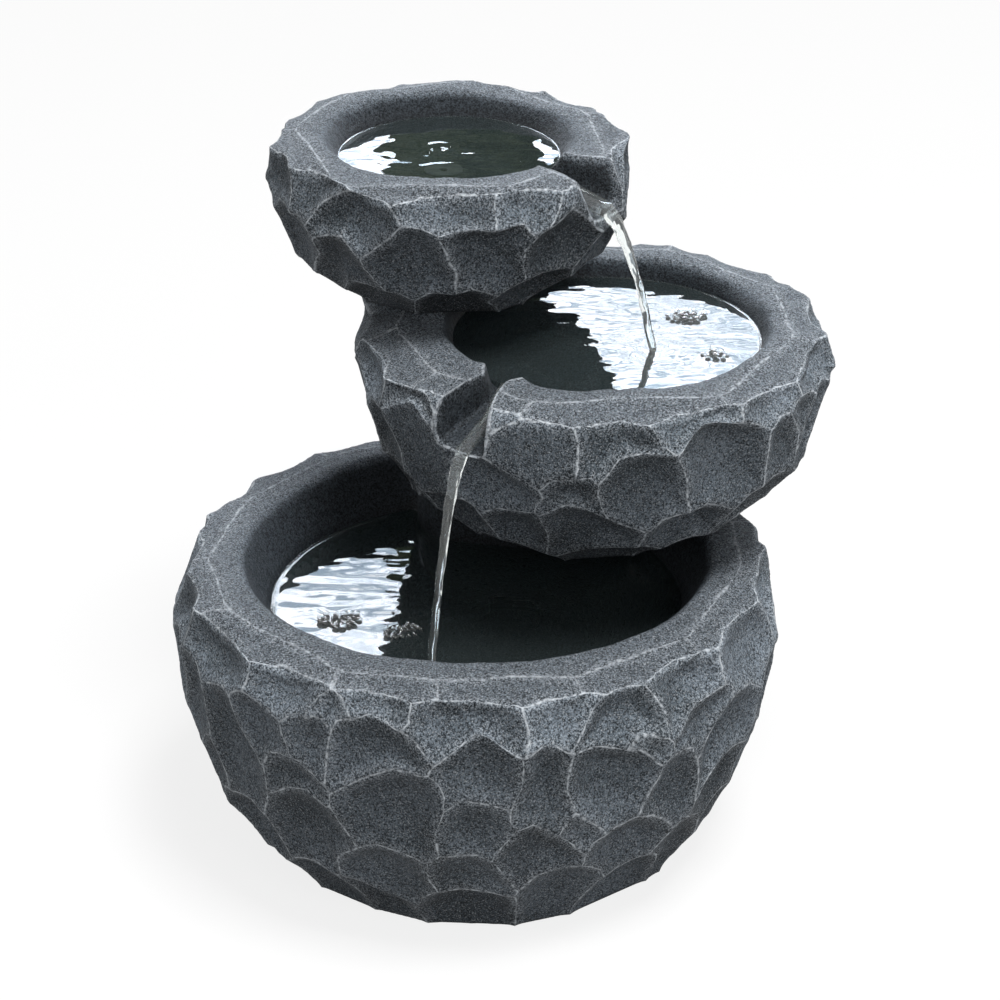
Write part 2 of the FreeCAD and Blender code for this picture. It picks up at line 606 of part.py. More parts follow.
def pump_housing():
    """Encapsulated motor with the rotor's chamber open at the front."""
    box = prism("pump_housing", "YZ_Plane", pump_side, "pump_front - pump_back", "pump_back")
    rounded(box, "pump_round", lambda edge: runs_along(edge, FreeCAD.Vector(1, 0, 0)))
    pocket(box, "YZ_Plane", lambda sketch: ring(sketch, "0", "pump_axis", "rotor_room"), "rotor_room_depth",
           "pump_front")
    return in_pump_frame(box)


def impeller_cover():
    """Pump chamber in front of the motor: inlet holes, nozzle, seal groove and the lip for the strainer."""
    box = prism("impeller_cover", "YZ_Plane", lambda sketch: pump_side(sketch, "cover_inset"),
                "cover_length", "pump_front")
    rounded(box, "pump_round - cover_inset", lambda edge: runs_along(edge, FreeCAD.Vector(1, 0, 0)))
    lip = "strainer_wall + strainer_gap"
    pad(box, "YZ_Plane", lambda sketch: pump_side(sketch, lip), "lip_length", COVER_FRONT)
    low = f"{NOZZLE_ROOT} - nozzle_depth"
    for radius, rise in (("nozzle_collar", "nozzle_root"), ("hose_bore - barb_gap", "nozzle_length")):
        pad(box, "XY_Plane", lambda sketch: ring(sketch, NOZZLE_X, "0", radius),
            f"{rise} + nozzle_depth", low)
    pocket(box, "XY_Plane", lambda sketch: ring(sketch, NOZZLE_X, "0", "tail_bore"),
           f"nozzle_length + {NOZZLE_ROOT} - pump_axis", f"{NOZZLE_ROOT} + nozzle_length")
    pocket(box, "YZ_Plane", lambda sketch: ring(sketch, "0", "pump_axis", "chamber_radius"),
           "cover_length - cover_wall", "pump_front", True)

    def groove(sketch):
        ring(sketch, "0", "pump_axis", "seal_radius")
        ring(sketch, "0", "pump_axis", "seal_radius + seal_width")

    pocket(box, "YZ_Plane", groove, "seal_tall", "pump_front", True)

    def inlets(sketch):
        ring(sketch, "0", "pump_axis", "bush_radius")
        ring_of_holes(sketch, "pump_axis", "inlet_ring", "inlet_radius", "inlet_count")

    pocket(box, "YZ_Plane", inlets, f"cover_wall + lip_length + 2 * {THROUGH}",
           f"{COVER_FRONT} - cover_wall - {THROUGH}", True)
    return in_pump_frame(box)


def annulus(label, outside, inside, length, start):
    """A ring around the rotor's axis."""
    def section(sketch):
        ring(sketch, "0", "pump_axis", outside)
        ring(sketch, "0", "pump_axis", inside)

    return in_pump_frame(prism(label, "YZ_Plane", section, length, start))


def impeller():
    """Hub with straight blades, so that it pumps whichever way the rotor starts."""
    wheel = prism("impeller", "YZ_Plane", lambda sketch: ring(sketch, "0", "0", "hub_radius"),
                  "impeller_length", ROTOR_FRONT)

    def blade(sketch):
        rectangle(sketch, "-blade_thick / 2", "blade_thick / 2", "hub_radius / 2", "impeller_radius")

    first = pad(wheel, "YZ_Plane", blade, "impeller_length", ROTOR_FRONT)
    blades = wheel.newObject("PartDesign::PolarPattern", "impeller_blades")
    blades.Originals = [first]
    blades.Axis = ([line for line in wheel.Origin.OriginFeatures if line.Role == "X_Axis"][0], [""])
    blades.Angle = 360
    bind(blades, "Occurrences", "blade_count")
    wheel.Tip = blades
    doc.recompute()
    pocket(wheel, "YZ_Plane", lambda sketch: ring(sketch, "0", "0", "pin_radius + pin_gap"),
           f"impeller_length + 2 * {THROUGH}", f"{ROTOR_FRONT} + impeller_length + {THROUGH}")
    return place(wheel, WELL_X, WELL_Y, "low_floor_height + pump_axis", WELL_TURN)


def strainer_cover():
    """Slotted cap that slides on the chamber's lip and holds the sponge; its front carries the dial."""
    cap = prism("strainer_cover", "YZ_Plane", pump_side, "strainer_length", COVER_FRONT)
    rounded(cap, "pump_round", lambda edge: runs_along(edge, FreeCAD.Vector(1, 0, 0)))
    pocket(cap, "YZ_Plane", lambda sketch: pump_side(sketch, "strainer_wall"),
           "strainer_length - strainer_wall", COVER_FRONT, True)
    first = f"({COVER_FRONT} + lip_length + slot_width / 2)"
    low, high = "pump_axis - slot_tall / 2", "pump_axis + slot_tall / 2"

    def slots(sketch):
        for i in range(int(worth("slot_count"))):
            left = f"{first} + {i} * slot_pitch"
            rectangle(sketch, left, f"{left} + slot_width", low, high)

    pocket(cap, "XZ_Plane", slots, f"pump_width + 2 * {THROUGH}", f"pump_width / 2 + {THROUGH}")
    pocket(cap, "YZ_Plane",
           lambda sketch: ring_of_holes(sketch, "pump_axis", "dial_ring", "inlet_radius", "dial_holes"),
           f"strainer_wall + 2 * {THROUGH}", f"{STRAINER_FRONT} + {THROUGH}")
    pad(cap, "YZ_Plane", lambda sketch: ring(sketch, "0", "pump_axis", "dial_pin"),
        "strainer_wall + dial_thick", f"{STRAINER_FRONT} - strainer_wall")
    return in_pump_frame(cap)


def flow_dial():
    """Disc with the strainer's hole circle and a bar to turn it by."""
    back = f"({STRAINER_FRONT} + dial_gap)"
    disc = prism("flow_dial", "YZ_Plane", lambda sketch: ring(sketch, "0", "pump_axis", "dial_radius"),
                 "dial_thick", back)

    def holes(sketch):
        ring(sketch, "0", "pump_axis", "dial_pin + pin_gap")
        ring_of_holes(sketch, "pump_axis", "dial_ring", "inlet_radius", "dial_holes")

    pocket(disc, "YZ_Plane", holes, f"dial_thick + 2 * {THROUGH}", f"{back} + dial_thick + {THROUGH}")
    half = "dial_grip_reach * cos(180 / dial_holes)"
    wide = "dial_grip / 2 * cos(180 / dial_holes)"

    def grip(sketch):
        outline(sketch, [(f"{half} + {wide}", f"pump_axis + {half} - {wide}"),
                         (f"{half} - {wide}", f"pump_axis + {half} + {wide}"),
                         (f"-{half} - {wide}", f"pump_axis - {half} + {wide}"),
                         (f"-{half} + {wide}", f"pump_axis - {half} - {wide}")])

    pad(disc, "YZ_Plane", grip, "dial_grip", f"{back} + dial_thick")
    return in_pump_frame(disc)


def filter_sponge():
    """Block of foam that fills the strainer in front of the chamber's lip."""
    inset = "strainer_wall + strainer_gap"
    start = f"{COVER_FRONT} + lip_length + strainer_gap"
    foam = prism("filter_sponge", "YZ_Plane", lambda sketch: pump_side(sketch, inset),
                 "strainer_length - strainer_wall - lip_length - 2 * strainer_gap", start)
    return in_pump_frame(foam)


def cable_gland():
    """Collar and tapered tail at the back of the motor, bored for the lead."""
    collar = "pump_back"
    gland = prism("cable_gland", "YZ_Plane", lambda sketch: ring(sketch, "0", "pump_axis", "gland_radius"),
                  "gland_collar", collar, True)
    pad(gland, "YZ_Plane", lambda sketch: ring(sketch, "0", "pump_axis", "gland_tail_radius"),
        "gland_collar + gland_tail", collar, True)
    pocket(gland, "YZ_Plane", lambda sketch: ring(sketch, "0", "pump_axis", "gland_bore"),
           f"gland_tail + {THROUGH}", f"{collar} - gland_collar - gland_tail - {THROUGH}", True)
    return in_pump_frame(gland)


def rotor_shaft():
    """The fixed pin that the rotor turns on."""
    pin = prism("rotor_shaft", "YZ_Plane", lambda sketch: ring(sketch, "0", "pump_axis", "pin_radius"),
                "rotor_room_depth + cover_length", "pump_front - rotor_room_depth")
    return in_pump_frame(pin)


def suction_feet():
    """Four rubber cups under the motor."""
    cup = turned("suction_cup", [("0", "0"), ("cup_radius", "0"), ("cup_neck", "cup_lip"),
                                 ("cup_neck", "cup_tall"), ("0", "cup_tall")])
    spots = [(x, side) for x in ("cup_x_back", "cup_x_front") for side in (-1, 1)]
    cups = []
    for x, side in spots:
        copy = cup.Shape.copy()
        copy.translate(FreeCAD.Vector(worth(x), side * worth("cup_y"), 0))
        cups.append(copy)
    return in_pump_frame(shaped("suction_feet", Part.makeCompound(cups)))


def shaft_bushes():
    """The two rubber bushes that hold the rotor's pin, at the chamber's end and in the cover."""
    bush = annulus("bush", "bush_radius", "pin_radius", "bush_length", "pump_front - rotor_room_depth")
    doc.recompute()
    pair = []
    for shift in ("0", f"{COVER_FRONT} - cover_wall - pump_front + rotor_room_depth"):
        copy = bush.Shape.copy()
        copy.Placement = FreeCAD.Placement()
        copy.translate(FreeCAD.Vector(worth(shift), 0, 0))
        pair.append(copy)
    return in_pump_frame(shaped("shaft_bushes", Part.makeCompound(pair)))


def rounded_route(spots, radius):
    """A wire through points, its corners turned by tangent arcs."""
    edges = []
    start = spots[0]
    for before, corner, after in zip(spots, spots[1:], spots[2:]):
        arriving = (corner - before).normalize()
        leaving = (after - corner).normalize()
        turn = arriving.getAngle(leaving)
        trim = radius * math.tan(turn / 2)
        first, last = corner - arriving * trim, corner + leaving * trim
        inward = (leaving - arriving).normalize()
        middle = corner + inward * (radius / math.cos(turn / 2) - radius)
        edges.append(Part.LineSegment(start, first).toShape())
        edges.append(Part.Arc(first, middle, last).toShape())
        start = last
    edges.append(Part.LineSegment(start, spots[-1]).toShape())
    return Part.Wire(edges)


def nozzle_axis():
    """Plan position of the pump's nozzle."""
    turn = math.radians(worth(WELL_TURN))
    along = worth(NOZZLE_X)
    return worth(WELL_X) + along * math.cos(turn), worth(WELL_Y) + along * math.sin(turn)


def riser_hose():
    """Hose from the pump's nozzle, over to the riser and straight up to the top bowl's hose tail."""
    x, y = nozzle_axis()
    foot = worth(HOSE_FOOT)
    across = FreeCAD.Vector(worth("riser_x"), worth("riser_y"), 0)
    route = rounded_route([FreeCAD.Vector(x, y, foot), FreeCAD.Vector(x, y, foot + worth("hose_low_bend")),
                           across + UP * worth("hose_high_bend"),
                           across + UP * (worth(TAIL_END) + worth("tail_length"))], worth("hose_bend"))
    tubes = []
    for radius in (worth("hose_radius"), worth("hose_bore")):
        circle = Part.Wire(Part.Circle(FreeCAD.Vector(x, y, foot), UP, radius).toShape())
        tubes.append(route.makePipeShell([circle], True, False))
    hose = shaped("riser_hose", tubes[0].cut(tubes[1]))
    wall = math.pi * (worth("hose_radius") ** 2 - worth("hose_bore") ** 2)
    print(f"riser_hose volume {hose.Shape.Volume:.0f}, section times length {wall * route.Length:.0f}")
    return hose


def hose_clip():
    """Spring band with two ears around the hose on the nozzle."""
    inside, outside = "hose_radius + barb_gap", "hose_radius + barb_gap + clip_wall"

    def band(sketch):
        ring(sketch, "0", "0", outside)
        ring(sketch, "0", "0", inside)

    clip = prism("hose_clip", "XY_Plane", band, "clip_tall")
    root = "hose_radius + barb_gap + clip_wall / 2"

    def ears(sketch):
        for side in ("", "-"):
            rows = (f"{side}(clip_slit / 2)", f"{side}(clip_slit / 2 + clip_wall)")
            outline(sketch, [(root, rows[0]), (f"{root} + clip_ear", rows[0]),
                             (f"{root} + clip_ear", rows[1]), (root, rows[1])])

    def slit(sketch):
        rectangle(sketch, "hose_bore", f"{root} + clip_ear + {THROUGH}", "-clip_slit / 2", "clip_slit / 2")

    pad(clip, "XY_Plane", ears, "clip_tall")
    pocket(clip, "XY_Plane", slit, f"clip_tall + 2 * {THROUGH}", f"-{THROUGH}", True)
    x, y = nozzle_axis()
    foot = FreeCAD.Vector(x, y, worth(f"{HOSE_FOOT} + clip_rise"))
    clip.Placement = FreeCAD.Placement(foot, FreeCAD.Rotation(UP, worth("clip_turn")))
    return clip


def outlet_fitting():
    """Flanged stem through the top bowl's floor, with the hose tail below the nut."""
    under = f"({TOP_FLOOR} + washer_tall)"
    stem_end = f"({NUT_SEAT} - nut_tall - stem_past_nut)"
    fitting = turned("outlet_fitting", [
        ("tail_bore", TAIL_END), ("hose_bore - barb_gap", TAIL_END), ("hose_bore - barb_gap", stem_end),
        ("outlet_stem", stem_end), ("outlet_stem", under), ("outlet_flange", under),
        ("outlet_flange", f"{under} + outlet_flange_tall"), ("tail_bore", f"{under} + outlet_flange_tall")])
    return place(fitting, "riser_x", "riser_y")


def washer(label, outside, inside, low, high):
    """A plain ring on the riser's axis."""
    rubber = turned(label, [(inside, low), (outside, low), (outside, high), (inside, high)])
    return place(rubber, "riser_x", "riser_y")


def outlet_nut():
    """Hexagon nut that draws the fitting down on its washer."""
    corner = "nut_flats / sqrt(3)"

    def hexagon(sketch):
        outline(sketch, [(f"{corner} * cos({60 * i})", f"{corner} * sin({60 * i})") for i in range(6)])
        ring(sketch, "0", "0", "outlet_stem + barb_gap")

    nut = prism("outlet_nut", "XY_Plane", hexagon, "nut_tall")
    return place(nut, "riser_x", "riser_y", f"{NUT_SEAT} - nut_tall")


def cable_grommet():
    """Flanged rubber sleeve where the lead leaves the lower bowl."""
    rubber = turned("cable_grommet", [
        ("cable_bore_radius", "-grommet_sleeve"), ("cable_hole_radius - rubber_gap", "-grommet_sleeve"),
        ("cable_hole_radius - rubber_gap", "0"), ("grommet_radius", "0"),
        ("grommet_radius", "grommet_flange"), ("cable_bore_radius", "grommet_flange")])
    return place(rubber, "cable_x", "cable_seat", "cable_height", "90", LAID_BACK)


pieces = [
    lower_bowl(),
    middle_bowl(),
    top_bowl(),
    pump_housing(),
    impeller_cover(),
    strainer_cover(),
    flow_dial(),
    filter_sponge(),
    cable_gland(),
    suction_feet(),
    shaft_bushes(),
    annulus("rotor_magnet", "magnet_radius", "pin_radius + pin_gap", "magnet_length",
            f"{ROTOR_FRONT} - magnet_length"),
    impeller(),
    rotor_shaft(),
    annulus("cover_seal", "seal_radius + seal_width", "seal_radius", "seal_tall", "pump_front"),
    riser_hose(),
    hose_clip(),
    washer("hose_grommet", "riser_bore_radius - rubber_gap", "hose_radius + barb_gap", "low_height",
           "low_height + hose_grommet_length"),
    outlet_fitting(),
    washer("outlet_washer", "outlet_flange", "outlet_stem + barb_gap", TOP_FLOOR,
           f"{TOP_FLOOR} + washer_tall"),
    outlet_nut(),
    cable_grommet(),
]
doc.recompute()

os.makedirs("parts", exist_ok=True)
for thing in doc.Objects:
    if "Invalid" in thing.State or "Error" in thing.State:
        raise RuntimeError(f"{thing.Label} did not compute: {thing.State}")
for piece in pieces:
    if piece.Shape.isNull() or not piece.Shape.isValid():
        raise RuntimeError(f"{piece.Label} has no valid shape")
    piece.Shape.exportStep(f"parts/{piece.Label}.step")
print(f"{len(pieces)} pieces written")
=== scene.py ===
"""Looks of a three-bowl garden fountain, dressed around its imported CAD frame."""

import json
import logging
import math
import random
from abc import ABC, abstractmethod
from dataclasses import dataclass, field
from enum import IntEnum
from functools import cached_property, reduce
from typing import Any, Sequence

import bmesh
import bpy
import numpy as np
from bmesh.types import BMEdge, BMesh, BMFace, BMVert
from bpy.types import ID, Material, Mesh, Node, NodeSocket as Socket, NodeTree, Object
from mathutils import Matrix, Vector
from mathutils.geometry import intersect_point_line


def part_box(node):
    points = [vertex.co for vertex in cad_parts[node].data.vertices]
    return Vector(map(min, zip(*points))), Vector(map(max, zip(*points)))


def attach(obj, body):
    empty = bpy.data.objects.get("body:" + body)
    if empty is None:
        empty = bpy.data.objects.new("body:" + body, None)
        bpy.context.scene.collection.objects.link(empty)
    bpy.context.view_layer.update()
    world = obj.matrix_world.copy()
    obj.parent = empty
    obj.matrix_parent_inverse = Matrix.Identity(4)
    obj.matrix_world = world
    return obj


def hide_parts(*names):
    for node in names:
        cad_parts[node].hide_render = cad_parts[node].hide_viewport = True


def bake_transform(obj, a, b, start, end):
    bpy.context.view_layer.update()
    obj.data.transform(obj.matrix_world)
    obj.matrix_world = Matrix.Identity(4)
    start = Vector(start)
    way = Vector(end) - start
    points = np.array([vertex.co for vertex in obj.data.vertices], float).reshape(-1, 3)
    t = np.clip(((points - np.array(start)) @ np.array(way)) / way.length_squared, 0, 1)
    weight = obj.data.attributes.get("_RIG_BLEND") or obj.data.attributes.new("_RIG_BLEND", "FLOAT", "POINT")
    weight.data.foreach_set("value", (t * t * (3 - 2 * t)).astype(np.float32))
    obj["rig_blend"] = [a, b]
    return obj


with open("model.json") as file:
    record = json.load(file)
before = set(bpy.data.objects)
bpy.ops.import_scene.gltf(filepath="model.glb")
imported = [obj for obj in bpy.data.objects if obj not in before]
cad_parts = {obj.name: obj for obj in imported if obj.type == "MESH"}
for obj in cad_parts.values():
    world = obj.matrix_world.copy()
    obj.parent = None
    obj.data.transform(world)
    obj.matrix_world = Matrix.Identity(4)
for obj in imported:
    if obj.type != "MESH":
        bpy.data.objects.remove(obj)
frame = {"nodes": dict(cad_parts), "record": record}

Rgba = tuple[float, float, float, float]
Point = tuple[float, float, float]

LOG = logging.getLogger("fountain")
PIXELS = 1000
WHITE = (1.0, 1.0, 1.0, 1.0)
UP = Vector((0.0, 0.0, 1.0))

# Axes of the three basins, and the place and radius where one bowl stands on the next.
LOWER_AXIS, MIDDLE_AXIS, TOP_AXIS = (0.0, 0.0), (0.087, 0.075), (-0.018, 0.140)
SEAT, SEAT_RADIUS = (-0.018, 0.136), 0.085

# How near counts as touching, in metres: doubles, levels, walls, cones and wells.
MERGE, NEAR, SLACK, CONE_SLACK, WELL_SLACK = 0.00002, 0.0005, 0.001, 0.0015, 0.002

# Facets that differ less than FLAT are one facet, and edges sharper than SHARP are ridges.
FLAT, SHARP = math.radians(0.35), math.radians(3.0)

# Widths of noise clouds in metres: pits and waves of the stone, bends of the rings, flutes of the streams.
PIT, WAVE, BEND, FLUTE = 1 / 95, 1 / 16, 1 / 55, 1 / 230


class Zone(IntEnum):
    """Kinds of stone surface, by how the mould maker left them."""

    CHISELLED = 0
    RIM = 1
    BASIN = 2
    CHUTE = 3
    NECK = 4
    HIDDEN = 5
    BANK = 6


# What each zone gets, in the order of Zone: its longest edge, and its share of each attribute.
LONGEST_EDGE = (0.0042, 0.0055, 0.0090, 0.005, 0.010, 1.0, 0.003)
SHARES = {
    "dress": (1.0, 0.55, 0.35, 0.2, 0.3, 0.0, 0.4),
    "rim": (0.0, 1.0, 0.0, 0.0, 0.0, 0.0, 0.9),
    "basin": (0.0, 0.0, 1.0, 0.75, 0.0, 1.0, 0.0),
    "lined": (1.0, 0.6, 0.0, 0.3, 0.0, 0.0, 0.6),
    "wet": (0.0, 0.0, 0.3, 1.0, 0.0, 1.0, 0.0),
    "sag": (0.0, 1.0, 0.0, 0.0, 0.0, 0.0, 0.5),
    "soft": (1.0, 0.6, 0.2, 0.3, 0.0, 0.0, 0.9),
}


def seen(*channels: int) -> Rgba:
    """A screen colour, red, green and blue from 0 to 255, as linear light with full opacity."""
    shares = [channel / 255 for channel in channels]
    return (*(s / 12.92 if s <= 0.04045 else ((s + 0.055) / 1.055) ** 2.4 for s in shares), 1.0)


def add_object(name: str, data: ID) -> Object:
    """Put a new object into the scene.

    Args:
        name: Its name.
        data: Its mesh, light or camera.

    Returns:
        The object.
    """
    item = bpy.data.objects.new(name, data)
    bpy.context.scene.collection.objects.link(item)
    return item


def cad_shell(node: str, flat: float) -> BMesh:
    """A CAD node's loose triangles joined into flat faces.

    Args:
        node: Name of the node.
        flat: Angle below which two faces are one.

    Returns:
        The joined faces.
    """
    shell = bmesh.new()
    shell.from_mesh(frame["nodes"][node].data)
    bmesh.ops.remove_doubles(shell, verts=shell.verts, dist=MERGE)
    bmesh.ops.dissolve_limit(shell, angle_limit=flat, verts=shell.verts, edges=shell.edges)
    return shell


def to_mesh(shell: BMesh, name: str) -> Mesh:
    """Turn a shell into a mesh.

    Args:
        shell: The shell, which is used up.
        name: The mesh's name.

    Returns:
        The mesh.
    """
    mesh = bpy.data.meshes.new(name)
    shell.to_mesh(mesh)
    shell.free()
    return mesh


def zones_at(element: BMVert | BMEdge) -> set[int]:
    """The zones that meet at a vertex or an edge of a casting."""
    return {face.material_index for face in element.link_faces}


class Graph:
    """A small builder for node trees."""

    def __init__(self, tree: NodeTree) -> None:
        """Start on an emptied tree."""
        self.tree = tree
        tree.nodes.clear()

    def add(self, kind: str, inputs: dict[Any, Any] | None = None, **settings: Any) -> Node:
        """Add a node.

        Args:
            kind: Blender's name of the node type.
            inputs: Values or sockets for its inputs, by name or number.
            **settings: Properties of the node.

        Returns:
            The new node.
        """
        node = self.tree.nodes.new(kind)
        for name, value in settings.items():
            setattr(node, name, value)
        for key, value in (inputs or {}).items():
            if isinstance(value, Socket):
                self.tree.links.new(value, node.inputs[key])
            else:
                node.inputs[key].default_value = value
        return node

    def first(self, kind: str, inputs: dict[Any, Any] | None = None, **settings: Any) -> Socket:
        """Add a node and take its first output."""
        return self.add(kind, inputs, **settings).outputs[0]

    def math(self, operation: str, first: Any, second: Any = 0.0, clamp: bool = False) -> Socket:
        """A sum of two numbers or sockets, held between 0 and 1 if clamped."""
        return self.first("ShaderNodeMath", {0: first, 1: second}, operation=operation, use_clamp=clamp)

    def times(self, *factors: Any) -> Socket:
        """The product of numbers and sockets."""
        return reduce(lambda one, other: self.math("MULTIPLY", one, other), factors)

    def vector(self, operation: str, first: Any, second: Any = (0.0, 0.0, 0.0), scale: Any = 1.0) -> Socket:
        """A sum of two vectors, or of a vector and a factor."""
        node = self.add("ShaderNodeVectorMath", {0: first, 1: second, 3: scale}, operation=operation)
        return node.outputs["Value" if operation in ("DOT_PRODUCT", "DISTANCE") else "Vector"]

    def remap(self, value: Any, low: Any, high: Any, start: Any, end: Any, smooth: bool = False) -> Socket:
        """A number moved from the range low to high to the range start to end, held inside it and eased if smooth."""
        inputs = {"Value": value, "From Min": low, "From Max": high, "To Min": start, "To Max": end}
        return self.first("ShaderNodeMapRange", inputs, interpolation_type="SMOOTHSTEP" if smooth else "LINEAR")

    def mix(self, share: Any, first: Any, second: Any, blend: str = "MIX") -> Socket:
        """Two colours mixed, by the second colour's share."""
        inputs = {0: share, 6: first, 7: second}
        return self.add("ShaderNodeMix", inputs, data_type="RGBA", blend_type=blend).outputs[2]

    def noise(self, place: Any, size: Any, detail: float = 2.0, rough: float = 0.5, seed: Any = 0.0,
              colour: bool = False) -> Socket:
        """Cloudy noise, as one value or three, with clouds of a given size in metres, a number or a socket."""
        scale = self.math("DIVIDE", 1.0, size) if isinstance(size, Socket) else 1.0 / size
        return self.add("ShaderNodeTexNoise", {"Vector": place, "W": seed, "Scale": scale, "Detail": detail,
                                               "Roughness": rough}, noise_dimensions="4D").outputs[1 if colour else 0]

    def plain_ray(self) -> Socket:
        """One for rays from the camera, mirrors and clear things, and zero for rays that only carry light."""
        path = self.add("ShaderNodeLightPath").outputs
        return reduce(lambda one, other: self.math("MAXIMUM", one, other),
                      (path["Is Camera Ray"], path["Is Glossy Ray"], path["Is Transmission Ray"]))


class Paint(Graph):
    """A new material and its shader tree."""

    def __init__(self, name: str) -> None:
        """Start the material.

        Args:
            name: The material's name.
        """
        self.made = bpy.data.materials.new(name)
        self.made.use_nodes = True
        super().__init__(self.made.node_tree)

    @cached_property
    def place(self) -> Socket:
        """The piece's own coordinates."""
        return self.add("ShaderNodeTexCoord").outputs["Object"]

    def attribute(self, name: str) -> Socket:
        """A number that the mesh carries."""
        return self.add("ShaderNodeAttribute", attribute_name=name).outputs["Fac"]

    def tint(self, colour: Socket, factor: Socket) -> Socket:
        """A colour times a number."""
        return self.mix(1.0, colour, factor, "MULTIPLY")

    def end(self, shader: Socket) -> Material:
        """End the tree in a shader and give the material."""
        self.add("ShaderNodeOutputMaterial", {"Surface": shader})
        return self.made

    def surface(self, inputs: dict[str, Any]) -> Material:
        """End the tree in a principled shader and give the material."""
        return self.end(self.first("ShaderNodeBsdfPrincipled", inputs))


@dataclass(frozen=True)
class StoneFinish:
    """Sand-grained cast stone, dry-brushed along its chisel ridges."""

    name: str
    body: Rgba = seen(85, 92, 99)
    shade: Rgba = seen(60, 66, 71)
    rim: Rgba = seen(80, 86, 92)
    basin: Rgba = seen(52, 57, 62)
    line: Rgba = seen(200, 206, 212)
    pale_grain: Rgba = seen(186, 190, 194)
    patch: float = 0.06
    grain: float = 0.0012
    lump: float = 0.0045
    bump: float = 0.0010
    line_width: float = 0.0013
    line_wear: float = 0.022
    brush: float = 0.0035
    halo: float = 0.010
    wet_dark: float = 0.55
    shine: float = 0.22

    def stone(self, paint: Paint, sand: Socket) -> Socket:
        """The colour of the stone, dry or wet, without its ridge lines, with painted light and painted shade by facing,
        height and bowl.

        Args:
            paint: The material.
            sand: Noise of the sand's grain.

        Returns:
            The colour's socket.
        """
        patches = paint.noise(paint.place, self.patch, 4.0, 0.6, 1.0)
        colour = paint.mix(paint.remap(patches, 0.36, 0.64, 0.0, 1.0), self.shade, self.body)
        tilt = paint.remap(paint.attribute("facet"), 0.0, 1.0, 0.84, 1.24)
        # Painted shade: each bowl's stone is darker towards its foot and lighter towards its rim.
        rise = paint.remap(paint.attribute("rise"), 0.0, 1.0, 0.92, 1.10)
        # Painted light and shade: stone facing up is lightened and stone facing down is darkened, by the normal's
        # upward share.
        facing_shade_and_light = paint.remap(paint.attribute("facing"), -0.75, 0.45, 0.46, 1.48)
        colour = paint.tint(colour, paint.times(tilt, rise, facing_shade_and_light))
        basin = paint.attribute("basin")
        colour = paint.mix(paint.attribute("rim"), colour, self.rim)
        colour = paint.mix(basin, colour, self.basin)
        clump = paint.noise(paint.place, 3.0 * self.grain, 2.0, 0.7, 7.0)
        speckle = paint.times(paint.remap(sand, 0.39, 0.61, 0.18, 1.85), paint.remap(clump, 0.3, 0.7, 0.8, 1.2))
        colour = paint.tint(colour, speckle)
        pale = paint.remap(paint.noise(paint.place, 0.8 * self.grain, 1.0, 0.5, 6.0), 0.57, 0.67, 0.0, 0.5)
        pale = paint.times(pale, paint.remap(basin, 0.0, 1.0, 1.0, 0.0))
        colour = paint.mix(pale, colour, self.pale_grain)
        colour = paint.tint(colour, paint.remap(paint.attribute("wet"), 0.0, 1.0, 1.0, self.wet_dark))
        # Painted shade: the whole stone of a bowl is darkened by its tone, which is 0.84 on the top bowl.
        return paint.tint(colour, paint.attribute("tone"))

    def ridges(self, paint: Paint, sand: Socket) -> Socket:
        """The share of the pale lines along the ridges, worn in places, and of the dusting beside them.

        Args:
            paint: The material.
            sand: Noise of the sand's grain.

        Returns:
            The share's socket.
        """
        gap = paint.attribute("ridge_gap")
        worn = paint.noise(paint.place, self.line_wear, 3.0, 0.6, 3.0)
        width = paint.remap(worn, 0.35, 0.68, 0.1 * self.line_width, 1.8 * self.line_width)
        brushed = paint.remap(paint.noise(paint.place, self.brush, 2.0, 0.7, 4.0), 0.38, 0.60, 0.05, 1.0)
        line = paint.times(paint.remap(gap, 0.0, width, 1.0, 0.0, True), brushed)
        halo = paint.remap(gap, 0.0, self.halo, 0.42, 0.0, True)
        halo = paint.times(halo, paint.remap(sand, 0.5, 0.62, 0.0, 1.0))
        return paint.math("MULTIPLY", paint.math("MAXIMUM", line, halo), paint.attribute("lined"), True)

    def material(self) -> Material:
        """The finish as a material that reads the attributes of a stone mesh.

        Returns:
            The material.
        """
        paint = Paint(self.name)
        sand = paint.noise(paint.place, self.grain, 2.0, 0.8, 2.0)
        lumps = paint.noise(paint.place, self.lump, 3.0, 0.6, 5.0)
        colour = paint.mix(self.ridges(paint, sand), self.stone(paint, sand), self.line)
        height = paint.math("ADD", sand, paint.times(lumps, 1.4))
        bump = paint.first("ShaderNodeBump", {"Strength": 0.75, "Distance": self.bump, "Height": height})
        gloss = paint.times(paint.attribute("wet"), 0.5)
        matt = paint.math("SUBTRACT", paint.remap(lumps, 0.3, 0.7, 0.74, 0.95), gloss)
        return paint.surface({"Base Color": colour, "Normal": bump, "Roughness": matt,
                              "Specular IOR Level": self.shine})


@dataclass(frozen=True)
class WaterFinish:
    """Clear water, tinted by what it stands in."""

    name: str
    tint: Rgba = (0.36, 0.46, 0.47, 1.0)
    rough: float = 0.015
    clear: float = 0.955
    index: float = 1.333

    def material(self) -> Material:
        """The finish as a clear material."""
        return Paint(self.name).surface({"Base Color": self.tint, "Roughness": self.rough, "IOR": self.index,
                                         "Transmission Weight": self.clear})


